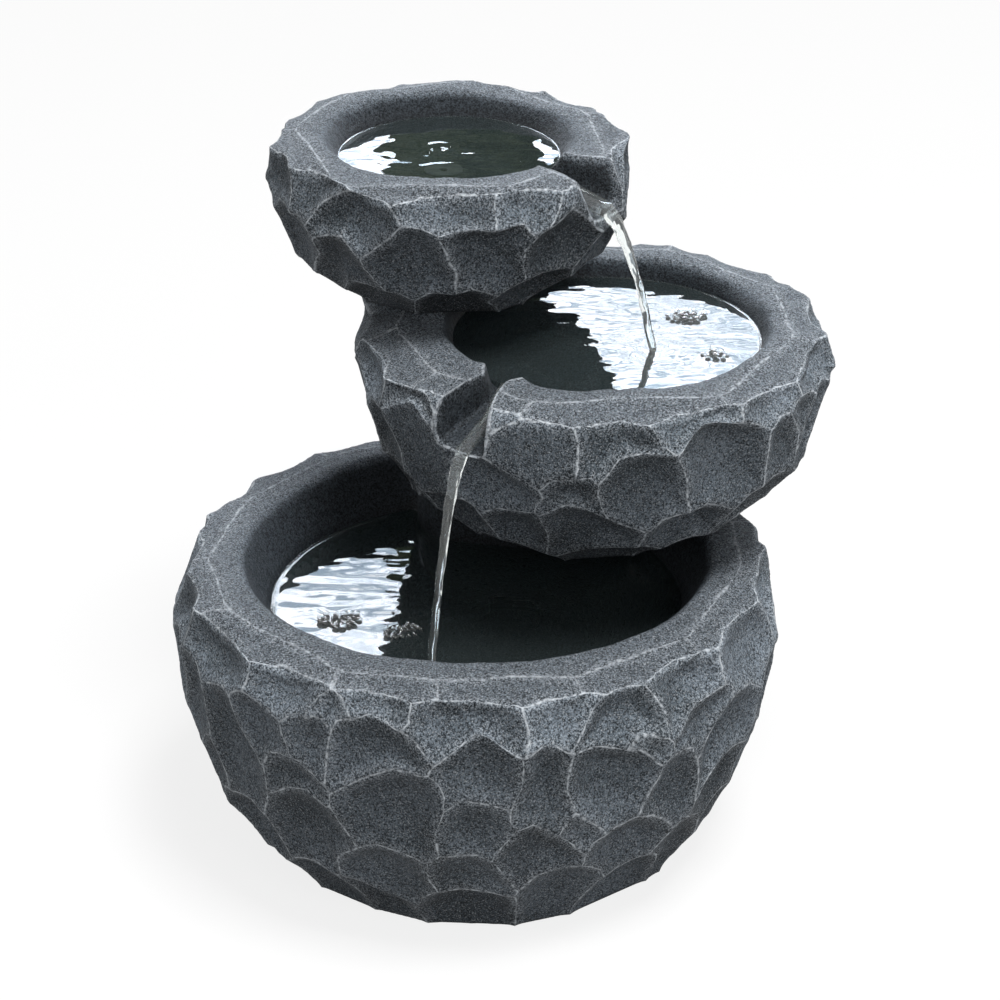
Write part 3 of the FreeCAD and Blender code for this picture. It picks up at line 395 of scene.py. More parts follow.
@dataclass(frozen=True)
class MouldedFinish:
    """Moulded plastic, rubber, ceramic or metal with a fine texture."""

    name: str
    colour: Rgba
    worn: Rgba
    grain: float = 0.0006
    rough: tuple[float, float] = (0.35, 0.55)
    bump: float = 0.00005
    metal: float = 0.0
    mottle: float = 0.008

    def material(self) -> Material:
        """The finish as a material with mottling and a fine bump.

        Returns:
            The material.
        """
        paint = Paint(self.name)
        cloud = paint.noise(paint.place, self.mottle, 4.0, 0.6, 1.0)
        fine = paint.noise(paint.place, self.grain, 2.0, 0.5, 2.0)
        colour = paint.mix(paint.remap(cloud, 0.35, 0.7, 0.0, 1.0), self.colour, self.worn)
        matt = paint.remap(cloud, 0.3, 0.7, *self.rough)
        bump = paint.first("ShaderNodeBump", {"Strength": 0.6, "Distance": self.bump, "Height": fine})
        return paint.surface({"Base Color": colour, "Normal": bump, "Roughness": matt, "Metallic": self.metal})


class Recipe(Graph):
    """A geometry tree with named inputs, run once on a mesh and then taken off."""

    def __init__(self, name: str, numbers: Sequence[str], **others: str) -> None:
        """Start the tree. It always has the inputs Geometry and Material.

        Args:
            name: The tree's name.
            numbers: Names of the inputs that are plain numbers.
            **others: Kind of each other input, such as Int, by its name.
        """
        super().__init__(bpy.data.node_groups.new(name, "GeometryNodeTree"))
        face = self.tree.interface
        for way in ("INPUT", "OUTPUT"):
            face.new_socket("Geometry", in_out=way, socket_type="NodeSocketGeometry")
        kinds = {**dict.fromkeys(numbers, "Float"), **others, "Material": "Material"}
        self.numbers, self.keys = numbers, {}
        for label, kind in kinds.items():
            self.keys[label] = face.new_socket(label, in_out="INPUT", socket_type="NodeSocket" + kind).identifier
        self.given = self.add("NodeGroupInput").outputs

    def carried(self, name: str, kind: str = "FLOAT") -> Socket:
        """A named attribute of the mesh."""
        return self.add("GeometryNodeInputNamedAttribute", {"Name": name}, data_type=kind).outputs["Attribute"]

    def store(self, geometry: Socket, name: str, value: Socket) -> Socket:
        """The geometry with a number left on each point."""
        inputs = {"Geometry": geometry, "Name": name, "Value": value}
        return self.first("GeometryNodeStoreNamedAttribute", inputs, data_type="FLOAT", domain="POINT")

    def blur(self, value: Socket, rounds: Any, weight: Socket, kind: str) -> Socket:
        """A value evened out with its neighbours'."""
        inputs = {"Value": value, "Iterations": rounds, "Weight": weight}
        return self.first("GeometryNodeBlurAttribute", inputs, data_type=kind)

    def move(self, geometry: Socket, **how: Socket) -> Socket:
        """The geometry with its points moved by an Offset or to a Position."""
        return self.first("GeometryNodeSetPosition", {"Geometry": geometry, **how})

    def close(self, geometry: Socket) -> None:
        """End the tree in plain geometry with its material.

        Args:
            geometry: The finished geometry.
        """
        whole = self.first("GeometryNodeRealizeInstances", {0: geometry})
        smooth = self.first("GeometryNodeSetShadeSmooth", {0: whole})
        dressed = self.first("GeometryNodeSetMaterial", {"Geometry": smooth, "Material": self.given["Material"]})
        self.add("NodeGroupOutput", {0: dressed})

    def run(self, mesh: Mesh, source: "Piece", finish: Material) -> Object:
        """Run the tree on a mesh.

        Args:
            mesh: What it starts from.
            source: Whose fields are the inputs of the same names.
            finish: The material.

        Returns:
            The finished piece, a plain mesh.
        """
        piece = add_object(source.name, mesh)
        modifier = piece.modifiers.new(source.name, "NODES")
        modifier.node_group = self.tree
        for label, key in self.keys.items():
            value = finish if label == "Material" else getattr(source, label.lower().replace(" ", "_"))
            modifier[key] = float(value) if label in self.numbers else value
        state = bpy.context.evaluated_depsgraph_get()
        done = bpy.data.meshes.new_from_object(piece.evaluated_get(state), preserve_all_data_layers=True,
                                               depsgraph=state)
        done.name = source.name
        piece.modifiers.clear()
        piece.data = done
        bpy.data.meshes.remove(mesh)
        return piece


class Piece(ABC):
    """A visible piece that a recipe makes."""

    name: str

    @abstractmethod
    def start(self) -> Mesh:
        """The mesh that the recipe starts from."""

    @abstractmethod
    def fasten(self, piece: Object) -> None:
        """Join the finished piece to its body."""

    def build(self, recipe: Recipe, finish: Material) -> None:
        """Make the piece, join it to its body and log it.

        Args:
            recipe: The recipe of its kind.
            finish: Its material.
        """
        piece = recipe.run(self.start(), self, finish)
        self.fasten(piece)
        LOG.info("%s: %d faces", piece.name, len(piece.data.polygons))


def scoop_recipe() -> Recipe:
    """Chisel scoops: every facet is hollowed between its ridges, and ridges and walls stray a little.

    Returns:
        The recipe, which also leaves each point's distance to the nearest ridge and its tilt on the mesh.
    """
    recipe = Recipe("chisel scoops", ("Scoop Depth", "Wobble", "Wobble Size", "Pitting", "Sag", "Seed"), Softness="Int")
    given, seed, dress = recipe.given, recipe.given["Seed"], recipe.carried("dress")
    place, normal = recipe.first("GeometryNodeInputPosition"), recipe.first("GeometryNodeInputNormal")
    chosen = {"Geometry": given["Geometry"], "Selection": recipe.carried("ridge", "BOOLEAN")}
    ridges = recipe.first("GeometryNodeSeparateGeometry", chosen, domain="EDGE")
    gap = recipe.add("GeometryNodeProximity", {0: ridges, "Source Position": place},
                     target_element="EDGES").outputs["Distance"]
    held = recipe.store(given["Geometry"], "ridge_gap", gap)
    inward = recipe.math("SUBTRACT", 1.0, recipe.carried("hollow"), True)
    bowl = recipe.times(recipe.carried("depth"), recipe.math("SUBTRACT", 1.0, recipe.math("POWER", inward, 2.0)))
    soft = recipe.blur(bowl, 3, recipe.remap(gap, 0.0, 0.002, 0.0, 1.0), "FLOAT")
    sunk = recipe.times(soft, recipe.times(given["Scoop Depth"], -1.0))
    astray = recipe.noise(place, given["Wobble Size"], seed=seed, colour=True)
    astray = recipe.vector("SUBTRACT", astray, (0.5, 0.5, 0.5))
    lift = recipe.vector("DOT_PRODUCT", astray, normal)
    level = recipe.vector("SUBTRACT", astray, recipe.vector("SCALE", normal, scale=lift))
    level = recipe.vector("SCALE", level, scale=recipe.times(given["Wobble"], dress))
    pits = recipe.math("SUBTRACT", recipe.noise(place, PIT, 3.0, seed=seed), 0.75)
    pits = recipe.times(pits, given["Pitting"], dress)
    waves = recipe.remap(recipe.noise(place, WAVE, seed=seed), 0.35, 0.65, 0.0, -1.0)
    waves = recipe.times(waves, recipe.times(given["Sag"], recipe.carried("sag")))
    inwards = recipe.vector("SCALE", normal, scale=recipe.math("ADD", recipe.math("ADD", sunk, pits), waves))
    moved = recipe.move(held, Offset=recipe.vector("ADD", level, inwards))
    eased = recipe.blur(place, given["Softness"], recipe.carried("soft"), "FLOAT_VECTOR")
    eased = recipe.move(moved, Position=eased)
    # The normal's upward share, which the stone finish reads for its painted light and shade.
    facing = recipe.add("ShaderNodeSeparateXYZ", {0: normal}).outputs[2]
    recipe.close(recipe.store(eased, "facing", facing))
    return recipe


def uphill(outward: Vector) -> Vector:
    """The steepest way up a surface with a given normal."""
    climb = UP - outward * outward.z
    return climb.normalized() if climb.length > 1e-6 else Vector((0.0, 1.0, 0.0))


@dataclass(frozen=True)
class Chute:
    """The trough of a spout: it falls outwards from a narrow throat and opens both ways."""

    throat_floor: Point
    heading: float
    half_throat: float
    inlet: float
    left_lean: float
    right_lean: float
    slope: float = math.radians(17.0)
    fan: float = math.tan(math.radians(13.0))

    def axes(self) -> tuple[Vector, Vector, Vector]:
        """The trough's own directions.

        Returns:
            Downstream, left and up from its floor.
        """
        level = Vector((math.cos(self.heading), math.sin(self.heading), 0.0))
        ahead = level * math.cos(self.slope) - Vector((0.0, 0.0, math.sin(self.slope)))
        left = Vector((-level.y, level.x, 0.0))
        return ahead, left, ahead.cross(left)

    def local(self, spot: Vector) -> tuple[float, ...]:
        """A place as distances downstream, leftwards and up from the throat's floor."""
        away = spot - Vector(self.throat_floor)
        return tuple(away.dot(axis) for axis in self.axes())

    def spot(self, ahead: float, side: float, above: float) -> Vector:
        """The place at distances downstream, leftwards and up from the throat's floor."""
        axes = self.axes()
        return Vector(self.throat_floor) + axes[0] * ahead + axes[1] * side + axes[2] * above

    def half_width(self, ahead: float) -> float:
        """Half the floor's width at a distance downstream of the throat."""
        return self.half_throat + (self.fan * ahead if ahead > 0.0 else -self.inlet * ahead)

    def holds(self, spot: Vector) -> bool:
        """True if a place is on the trough's floor or walls.

        Args:
            spot: The place.

        Returns:
            Whether the trough holds it.
        """
        ahead, side, above = self.local(spot)
        half = self.half_width(ahead)
        left = half + above * math.tan(self.left_lean)
        right = -half - above * math.tan(self.right_lean)
        if abs(above) < NEAR:
            return right - NEAR < side < left + NEAR
        return above > 0.0 and min(abs(side - left), abs(side - right)) < NEAR


@dataclass(frozen=True)
class Neck:
    """The cone on a bowl that carries the next bowl."""

    axis: tuple[float, float]
    low: float
    high: float
    thin: float
    thick: float

    def off(self, spot: Vector) -> float:
        """How far a place is outside the cone."""
        radius = self.thin + (self.thick - self.thin) * (spot.z - self.low) / (self.high - self.low)
        return math.hypot(spot.x - self.axis[0], spot.y - self.axis[1]) - radius


@dataclass(frozen=True)
class Well:
    """A pocket inside a bowl, round or drawn out from one place to another."""

    start: tuple[float, float]
    end: tuple[float, float]
    radius: float

    def holds(self, spot: Vector) -> bool:
        """True if a place is inside the pocket or on its wall."""
        share = min(max(intersect_point_line(spot.xy, self.start, self.end)[1], 0.0), 1.0)
        return (spot.xy - Vector(self.start).lerp(Vector(self.end), share)).length < self.radius + WELL_SLACK


@dataclass
class StoneBowl(Piece):
    """One stone casting: its CAD facets are hollowed and given the stone finish."""

    node: str
    body: str
    foot: float
    rim: float
    basin_axis: tuple[float, float]
    mouth: float
    floor: float
    floor_height: float
    waterline: float
    seed: int
    chute: Chute | None = None
    bank: float = 0.004
    neck: Neck | None = None
    core: float = 0.6
    top_tilt: float = 0.86
    wells: Sequence[Well] = ()
    flat_spot: Point | None = None
    flat_reach: float = 0.045
    front_lip: float = 0.0
    lip_width: float = 0.030
    wet_band: float = 0.012
    # Darkening of the whole bowl's stone, a painted shade; 1.0 leaves it as it is.
    tone: float = 1.0
    scoop_depth: float = 0.0080
    scoop_size: float = 0.026
    scoop_range: tuple[float, float] = (0.75, 1.15)
    scoop_limit: float = 1.3
    ring_depth: float = 0.9
    bow: float = 0.16
    stray: float = 0.096
    shortest_bow: float = 0.012
    overhang: float = 0.38
    scallop: float = 0.09
    scallop_range: tuple[float, float] = (0.6, 1.1)
    scallop_drop: float = 0.06
    softness: int = 4
    sag: float = 0.004
    wobble: float = 0.014
    wobble_size: float = 0.035
    pitting: float = 0.0018
    chance: random.Random = field(init=False)
    shell: BMesh = field(init=False)

    def __post_init__(self) -> None:
        """Fix the bowl's own chance, the name of its piece and the shell that it is worked from."""
        self.chance = random.Random(self.seed)
        self.name = self.node + "_stone"
        self.shell = cad_shell(self.node, FLAT)

    def zone(self, face: BMFace) -> Zone:
        """Which kind of surface a face is.

        Args:
            face: A face of the casting.

        Returns:
            The zone.
        """
        middle = face.calc_center_median()
        wide = math.hypot(middle.x - self.basin_axis[0], middle.y - self.basin_axis[1])
        rise = (middle.z - self.floor_height) / (self.rim - self.floor_height)
        wall = self.floor + (self.mouth - self.floor) * rise
        if self.chute and self.chute.holds(middle):
            return Zone.CHUTE
        if any(well.holds(middle) for well in self.wells):
            return Zone.HIDDEN
        if self.floor_height - SLACK < middle.z < self.rim - NEAR and wide < wall + SLACK:
            return Zone.BASIN
        if self.neck and abs(self.neck.off(middle)) < CONE_SLACK:
            return Zone.NECK
        if middle.z < self.foot + SLACK:
            return Zone.HIDDEN
        if middle.z > self.rim - NEAR:
            return Zone.RIM
        if wide < self.mouth * self.core and middle.z < self.floor_height + SLACK:
            return Zone.HIDDEN
        return Zone.RIM if face.normal.z > self.top_tilt else Zone.CHISELLED

    def bury(self) -> None:
        """Leave only the casting's outside chiselled, and not the walls of its wells and bores."""
        outside = np.array([vertex.co for vertex in self.shell.verts if vertex.co.z > self.foot - NEAR
                            and not (self.neck and self.neck.off(vertex.co) < CONE_SLACK)])
        for face in self.shell.faces:
            if face.material_index == Zone.CHISELLED:
                ahead = (outside - np.array(face.calc_center_median())) @ np.array(face.normal)
                if ahead.max() > SLACK:
                    face.material_index = Zone.HIDDEN

    def round_banks(self) -> None:
        """Round the spout's banks where the trough meets the rim and the outside."""
        edges = []
        for edge in self.shell.edges:
            kinds = zones_at(edge)
            if Zone.CHUTE in kinds and kinds & {Zone.CHISELLED, Zone.RIM} and edge.is_convex:
                edges.append(edge)
        if edges:
            bmesh.ops.bevel(self.shell, geom=edges, offset=self.bank, segments=2, profile=0.5, affect="EDGES",
                            clamp_overlap=True, material=Zone.BANK)

    def bow_ridges(self) -> None:
        """Bend the straight ridges: level ones arch upwards, steep ones stray, and the rim's edge is scalloped."""
        stone = {Zone.CHISELLED, Zone.RIM}
        for edge in self.shell.edges[:]:
            kinds = [face.material_index for face in edge.link_faces]
            length = edge.calc_length()
            if len(kinds) != 2 or length < self.shortest_bow or not {Zone.CHISELLED} <= set(kinds) <= stone:
                continue
            run = (edge.verts[1].co - edge.verts[0].co).normalized()
            outward = sum((face.normal for face in edge.link_faces), Vector()).normalized()
            if Zone.RIM in kinds:
                away = edge.link_faces[kinds.index(Zone.CHISELLED)].normal
                push = Vector((-away.x, -away.y, -self.scallop_drop)) * self.scallop
                push *= self.chance.uniform(*self.scallop_range)
            else:
                up = uphill(outward)
                push = up * (self.bow * (1.0 - abs(run.dot(up))))
                push += run.cross(outward) * (self.stray * self.chance.uniform(-1.0, 1.0))
            for share in (1.0 / 3.0, 0.5):
                first = edge.verts[0]
                piece, middle = bmesh.utils.edge_split(edge, first, share)
                middle.co += push * length
                edge = piece if first not in piece.verts else edge

    def mark_ridges(self) -> None:
        """Mark the ridges between facets as seams."""
        for edge in self.shell.edges:
            kinds = zones_at(edge)
            sharp = len(edge.link_faces) == 2 and edge.calc_face_angle() > SHARP
            plain = kinds in ({Zone.BASIN}, {Zone.BANK}, {Zone.BASIN, Zone.RIM})
            edge.seam = sharp and not plain and not kinds & {Zone.CHUTE, Zone.NECK, Zone.HIDDEN}

    def strike(self, faces: list[BMFace]) -> None:
        """Put a point into each struck facet, high in it, where its scoop will be deepest.

        Args:
            faces: The struck facets.
        """
        hollow, depth = (self.shell.verts.layers.float[name] for name in ("hollow", "depth"))
        for vertex in bmesh.ops.poke(self.shell, faces=faces)["verts"]:
            ring = [edge.other_vert(vertex) for edge in vertex.link_edges]
            size = math.sqrt(sum(face.calc_area() for face in vertex.link_faces) / math.pi)
            up = uphill(sum((face.normal for face in vertex.link_faces), Vector()).normalized())
            vertex[hollow] = 1.0
            vertex[depth] = self.chance.uniform(*self.scoop_range) * min(self.scoop_limit, size / self.scoop_size)
            if self.flat_spot and (vertex.co - Vector(self.flat_spot)).length < self.flat_reach:
                vertex[depth] = 0.0
            for other in ring:
                other[depth] = max(other[depth], vertex[depth] * self.ring_depth)
            vertex.co += up * self.overhang * max(up.dot(other.co - vertex.co) for other in ring)

    def split(self) -> None:
        """Halve long edges, the longest first, until each zone is as fine as its relief needs."""
        while True:
            long = []
            for edge in self.shell.edges:
                length = edge.calc_length()
                if length > min(LONGEST_EDGE[face.material_index] for face in edge.link_faces):
                    long.append((length, edge))
            if not long:
                break
            for _, edge in sorted(long, key=lambda entry: -entry[0]):
                middle = bmesh.utils.edge_split(edge, edge.verts[0], 0.5)[1]
                for loop in middle.link_loops[:]:
                    bmesh.utils.face_split(loop.face, middle, loop.link_loop_next.link_loop_next.vert)

    def draw_in(self) -> None:
        """Bring the front of the basin's lip inwards, fading to the sides, the rim's edge and the waterline."""
        for vertex in self.shell.verts:
            kinds = zones_at(vertex)
            x, y = vertex.co.x - self.basin_axis[0], vertex.co.y - self.basin_axis[1]
            wide = math.hypot(x, y)
            if not kinds & {Zone.RIM, Zone.BASIN} or wide < 0.05 or vertex.co.z < self.waterline:
                continue
            front = max(0.0, -y / wide) ** 2
            high = (vertex.co.z - self.waterline) / (self.rim - self.waterline)
            near = max(0.0, 1.0 - max(0.0, wide - self.mouth) / self.lip_width)
            pull = self.front_lip * front * high * near / wide
            vertex.co.x -= x * pull
            vertex.co.y -= y * pull

    def weigh(self) -> None:
        """Leave on each point what the scoops and the finish read there."""
        layers = {name: self.shell.verts.layers.float[name] for name in (*SHARES, "rise", "tone")}
        for vertex in self.shell.verts:
            zones = [face.material_index for face in vertex.link_faces]
            for name, shares in SHARES.items():
                values = [shares[zone] for zone in zones]
                mean = sum(values) / len(values)
                vertex[layers[name]] = {"lined": max(values), "dress": min(values)}.get(name, mean)
            vertex[layers["rise"]] = (vertex.co.z - self.foot) / (self.rim - self.foot)
            vertex[layers["tone"]] = self.tone
            if math.hypot(vertex.co.x - SEAT[0], vertex.co.y - SEAT[1]) < SEAT_RADIUS:
                vertex[layers["sag"]] = 0.0
            if Zone.HIDDEN in zones:
                vertex[layers["soft"]] = 0.0
            if Zone.BASIN in zones:
                damp = (self.waterline + self.wet_band - vertex.co.z) / self.wet_band
                vertex[layers["wet"]] = min(1.0, max(vertex[layers["wet"]], damp))

    def start(self) -> Mesh:
        """The casting as facets, fine enough for their relief, with the attributes that the scoops need.

        Returns:
            The mesh.
        """
        shell = self.shell
        shell.normal_update()
        facet = shell.faces.layers.float.new("facet")
        for name in (*SHARES, "hollow", "depth", "rise", "tone"):
            shell.verts.layers.float.new(name)
        for face in shell.faces:
            face.material_index = self.zone(face)
        self.bury()
        self.round_banks()
        shell.normal_update()
        struck = []
        for face in shell.faces:
            face[facet] = self.chance.random()
            if face.material_index == Zone.CHISELLED and len(face.verts) > 3 and all(c.is_convex for c in face.loops):
                struck.append(face)
        self.bow_ridges()
        self.mark_ridges()
        self.strike(struck)
        bmesh.ops.triangulate(shell, faces=[face for face in shell.faces if len(face.verts) > 3])
        self.split()
        if self.front_lip:
            self.draw_in()
        self.weigh()
        for face in shell.faces:
            face.material_index = 0
        seams = [edge.seam for edge in shell.edges]
        mesh = to_mesh(shell, self.node + "_facets")
        mesh.attributes.new("ridge", "BOOLEAN", "EDGE").data.foreach_set("value", seams)
        return mesh

    def fasten(self, piece: Object) -> None:
        """Keep the casting inside its CAD node's box and let it stand for the node.

        Args:
            piece: The finished casting.
        """
        low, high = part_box(self.node)
        spots = np.empty(len(piece.data.vertices) * 3)
        piece.data.vertices.foreach_get("co", spots)
        spots = np.clip(spots.reshape(-1, 3), np.array(low), np.array(high))
        piece.data.vertices.foreach_set("co", spots.ravel())
        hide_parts(self.node)
        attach(piece, self.body)


def ripple_recipe() -> Recipe:
    """A water surface: rings around the place where a stream falls in, on a slow swell.

    Returns:
        The recipe.
    """
    recipe = Recipe("pool ripples", ("Ring Height", "Ring Length", "Ring Reach", "Swell", "Swell Size", "Seed"),
                    Entry="Vector")
    given, place = recipe.given, recipe.first("GeometryNodeInputPosition")
    away = recipe.vector("DISTANCE", place, given["Entry"])
    phase = recipe.times(recipe.math("DIVIDE", away, given["Ring Length"]), 2.0 * math.pi)
    bend = recipe.noise(place, BEND, 1.0, seed=given["Seed"])
    phase = recipe.math("ADD", phase, recipe.times(bend, 9.0))
    fade = recipe.math("POWER", math.e, recipe.math("DIVIDE", recipe.times(away, -1.0), given["Ring Reach"]))
    rings = recipe.times(recipe.math("SINE", phase), fade, given["Ring Height"])
    stretched = recipe.vector("MULTIPLY", place, (0.55, 1.5, 1.0))
    swell = recipe.noise(stretched, given["Swell Size"], seed=given["Seed"])
    swell = recipe.times(recipe.math("SUBTRACT", swell, 0.5), given["Swell"])
    rise = recipe.times(recipe.math("ADD", rings, swell), recipe.carried("open"))
    recipe.close(recipe.move(given["Geometry"], Offset=recipe.first("ShaderNodeCombineXYZ", {2: rise})))
    return recipe


@dataclass
class Pool(Piece):
    """The water that stands in one bowl."""

    name: str
    body: str
    axis: tuple[float, float]
    level: float
    floor_height: float
    radius: float
    floor: float
    entry: Point
    seed: float
    waist: tuple[float, float] | None = None
    ring_height: float = 0.0003
    ring_length: float = 0.010
    ring_reach: float = 0.014
    swell: float = 0.0008
    swell_size: float = 0.016
    step: float = 0.0022
    sink: float = 0.0006
    climb: float = 0.0014

    def outline(self) -> list[tuple[float, float, float]]:
        """The water's half section: a fine top that climbs at the stone, and walls a hair inside it.

        Returns:
            Radius, height and freedom to ripple of each point, from the middle of the top to the floor's edge.
        """
        rings = max(8, round(self.radius / self.step))
        outline = [(self.radius * i / rings, self.level, 1.0) for i in range(1, rings - 1)]
        for gap in (3.0, 2.0, 1.3, 0.7, 0.3):
            outline.append((self.radius - gap * self.climb, self.level + self.climb * math.exp(-1.4 * gap), 0.2 * gap))
        outline.append((self.radius + self.sink, self.level + self.climb, 0.0))
        if self.waist:
            outline.append((self.waist[0] + self.sink, self.waist[1], 0.0))
        return [*outline, (self.floor + self.sink, self.floor_height - self.sink, 0.0)]

    def start(self) -> Mesh:
        """The still water, its outline turned round the bowl's axis.

        Returns:
            The mesh.
        """
        turns = max(48, round(2 * math.pi * self.radius / (self.step * 1.6)))
        water = bmesh.new()
        loose = water.verts.layers.float.new("open")
        top = water.verts.new((*self.axis, self.level))
        top[loose] = 1.0
        low = water.verts.new((*self.axis, self.floor_height - self.sink))
        courses = []
        for radius, height, free in self.outline():
            course = []
            for i in range(turns):
                angle = 2 * math.pi * i / turns
                spot = (self.axis[0] + radius * math.cos(angle), self.axis[1] + radius * math.sin(angle), height)
                vertex = water.verts.new(spot)
                vertex[loose] = free
                course.append(vertex)
            courses.append(course)
        for i in range(turns):
            j = (i + 1) % turns
            water.faces.new((top, courses[0][i], courses[0][j]))
            for inner, outer in zip(courses, courses[1:]):
                water.faces.new((inner[i], outer[i], outer[j], inner[j]))
            water.faces.new((low, courses[-1][j], courses[-1][i]))
        bmesh.ops.recalc_face_normals(water, faces=water.faces)
        return to_mesh(water, self.name)

    def fasten(self, piece: Object) -> None:
        """Let the water ride on its bowl."""
        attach(piece, self.body)


def stream_recipe() -> Recipe:
    """Running water: a fluted ribbon along a line, as wide as the line's points say.

    Returns:
        The recipe.
    """
    recipe = Recipe("running water", ("Flatness", "Flutes", "Seed"))
    given = recipe.given
    place, normal = recipe.first("GeometryNodeInputPosition"), recipe.first("GeometryNodeInputNormal")
    path = recipe.first("GeometryNodeMeshToCurve", {"Mesh": given["Geometry"]})
    path = recipe.first("GeometryNodeSetCurveNormal", {"Curve": path}, mode="Z_UP")
    ring = recipe.first("GeometryNodeCurvePrimitiveCircle", {"Resolution": 36, "Radius": 0.5})
    shape = recipe.first("ShaderNodeCombineXYZ", {0: 1.0, 1: given["Flatness"], 2: 1.0})
    flat = recipe.first("GeometryNodeTransform", {"Geometry": ring, "Scale": shape})
    tube = recipe.first("GeometryNodeCurveToMesh", {"Curve": path, "Profile Curve": flat,
                                                    "Scale": recipe.carried("width"), "Fill Caps": True})
    flute = recipe.noise(recipe.vector("MULTIPLY", place, (1.0, 1.0, 0.16)), FLUTE, seed=given["Seed"])
    bulge = recipe.times(recipe.math("SUBTRACT", flute, 0.5), given["Flutes"], recipe.carried("loose"))
    recipe.close(recipe.move(tube, Offset=recipe.vector("SCALE", normal, scale=bulge)))
    return recipe


@dataclass
class Stream(Piece):
    """Water that runs down one bowl's spout and falls into the next bowl."""

    name: str
    upper: str
    lower: str
    chute: Chute
    bed: Sequence[tuple[float, float, float, float]]
    landing: Point
    widths: tuple[float, float]
    seed: float
    throw: float = 0.25
    bed_freedom: float = 0.25
    flatness: float = 0.42
    flutes: float = 0.0034
    steps: int = 60

    def start(self) -> Mesh:
        """The stream's line: over the spout's bed, then a fall that starts level with the bed.

        Returns:
            The line, with the width at each point and how freely each may flute.
        """
        points = [self.chute.spot(*place) for *place, _ in self.bed]
        widths = [width for *_, width in self.bed]
        free = [self.bed_freedom] * len(points)
        lip, foot = points[-1], Vector(self.landing)
        drop = lip.z - foot.z
        for i in range(1, self.steps + 1):
            share = i / self.steps
            fallen = (1.0 - self.throw) * share * share + self.throw * share
            points.append(Vector((lip.x + (foot.x - lip.x) * share, lip.y + (foot.y - lip.y) * share,
                                  lip.z - drop * fallen)))
            widths.append(self.widths[0] + (self.widths[1] - self.widths[0]) * min(1.0, 1.6 * share) ** 0.6)
            free.append(min(1.0, self.bed_freedom + 3.0 * share))
        mesh = bpy.data.meshes.new(self.name)
        mesh.from_pydata(points, [(i, i + 1) for i in range(len(points) - 1)], [])
        mesh.attributes.new("width", "FLOAT", "POINT").data.foreach_set("value", widths)
        mesh.attributes.new("loose", "FLOAT", "POINT").data.foreach_set("value", free)
        return mesh

    def fasten(self, piece: Object) -> None:
        """Let the stream stretch between its two bowls."""
        lip = self.chute.spot(*self.bed[-1][:3])
        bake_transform(piece, self.lower, self.upper, start=self.landing, end=lip)


def bubble_recipe() -> Recipe:
    """A raft of bubbles, thin-skinned domes, scattered on a patch of the water.

    Returns:
        The recipe.
    """
    recipe = Recipe("bubble raft", ("Spacing", "Small", "Large"), Seed="Int")
    given = recipe.given
    spread = {"Mesh": given["Geometry"], "Distance Min": given["Spacing"], "Density Max": 900000.0,
              "Seed": given["Seed"]}
    spots = recipe.first("GeometryNodeDistributePointsOnFaces", spread, distribute_method="POISSON")
    ball = recipe.first("GeometryNodeMeshIcoSphere", {"Radius": 1.0, "Subdivisions": 2})
    inside = recipe.first("GeometryNodeTransform", {"Geometry": ball, "Scale": (0.975, 0.975, 0.975)})
    skin = recipe.add("GeometryNodeJoinGeometry")
    for layer in (recipe.first("GeometryNodeFlipFaces", {0: inside}), ball):
        recipe.tree.links.new(layer, skin.inputs[0])
    dome = recipe.first("GeometryNodeTransform", {"Geometry": skin.outputs[0], "Translation": (0.0, 0.0, 0.56),
                                                  "Scale": (1.0, 1.0, 0.6)})
    size = recipe.add("FunctionNodeRandomValue", {2: given["Small"], 3: given["Large"], "Seed": given["Seed"]},
                      data_type="FLOAT").outputs[1]
    recipe.close(recipe.first("GeometryNodeInstanceOnPoints", {"Points": spots, "Instance": dome, "Scale": size}))
    return recipe


@dataclass
class Bubbles(Piece):
    """Bubbles that gather on a pool."""

    name: str
    body: str
    rafts: Sequence[tuple[Point, float, float]]
    seed: int
    corners: int = 14
    spacing: float = 0.0036
    small: float = 0.0013
    large: float = 0.0030

    def start(self) -> Mesh:
        """The ragged patches of water that the bubbles gather on.

        Returns:
            The mesh.
        """
        chance = random.Random(self.seed)
        patch = bmesh.new()
        for (x, y, z), wide, deep in self.rafts:
            ring = []
            for i in range(self.corners):
                angle, stray = 2 * math.pi * i / self.corners, chance.uniform(0.65, 1.1)
                spot = (x + wide * stray * math.cos(angle), y + deep * stray * math.sin(angle), z)
                ring.append(patch.verts.new(spot))
            patch.faces.new(ring)
        return to_mesh(patch, self.name)

    def fasten(self, piece: Object) -> None:
        """Let the bubbles ride on their bowl."""
        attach(piece, self.body)


@dataclass
class Dressing:
    """Finishes for the small pieces that keep their CAD shape, each named as its material slot."""

    finishes: Sequence[MouldedFinish] = (
        MouldedFinish("pump_plastic", seen(26, 26, 28), seen(38, 38, 40)),
        MouldedFinish("fitting_plastic", seen(58, 58, 61), seen(72, 72, 74)),
        MouldedFinish("rubber", seen(32, 32, 32), seen(45, 44, 43), 0.0004, (0.6, 0.85)),
        MouldedFinish("magnet", seen(66, 64, 64), seen(84, 80, 78), 0.0003, (0.45, 0.6)),
        MouldedFinish("ceramic_pin", seen(232, 229, 220), seen(240, 238, 232), 0.0003, (0.1, 0.2)),
        MouldedFinish("hose", seen(30, 31, 33), seen(42, 43, 45), 0.001, (0.2, 0.35)),
        MouldedFinish("spring_steel", seen(186, 186, 184), seen(160, 158, 154), 0.0002, (0.25, 0.4), metal=1.0),
    )

    def dress(self) -> None:
        """Give each kept CAD node the finish of its material slot."""
        materials = {finish.name: finish.material() for finish in self.finishes}
        for part in frame["record"]["subparts"]:
            if part["material_slot"] in materials:
                node = frame["nodes"][part["node"]]
                node.data.materials.clear()
                node.data.materials.append(materials[part["material_slot"]])
                LOG.info("dressed %s", part["node"])


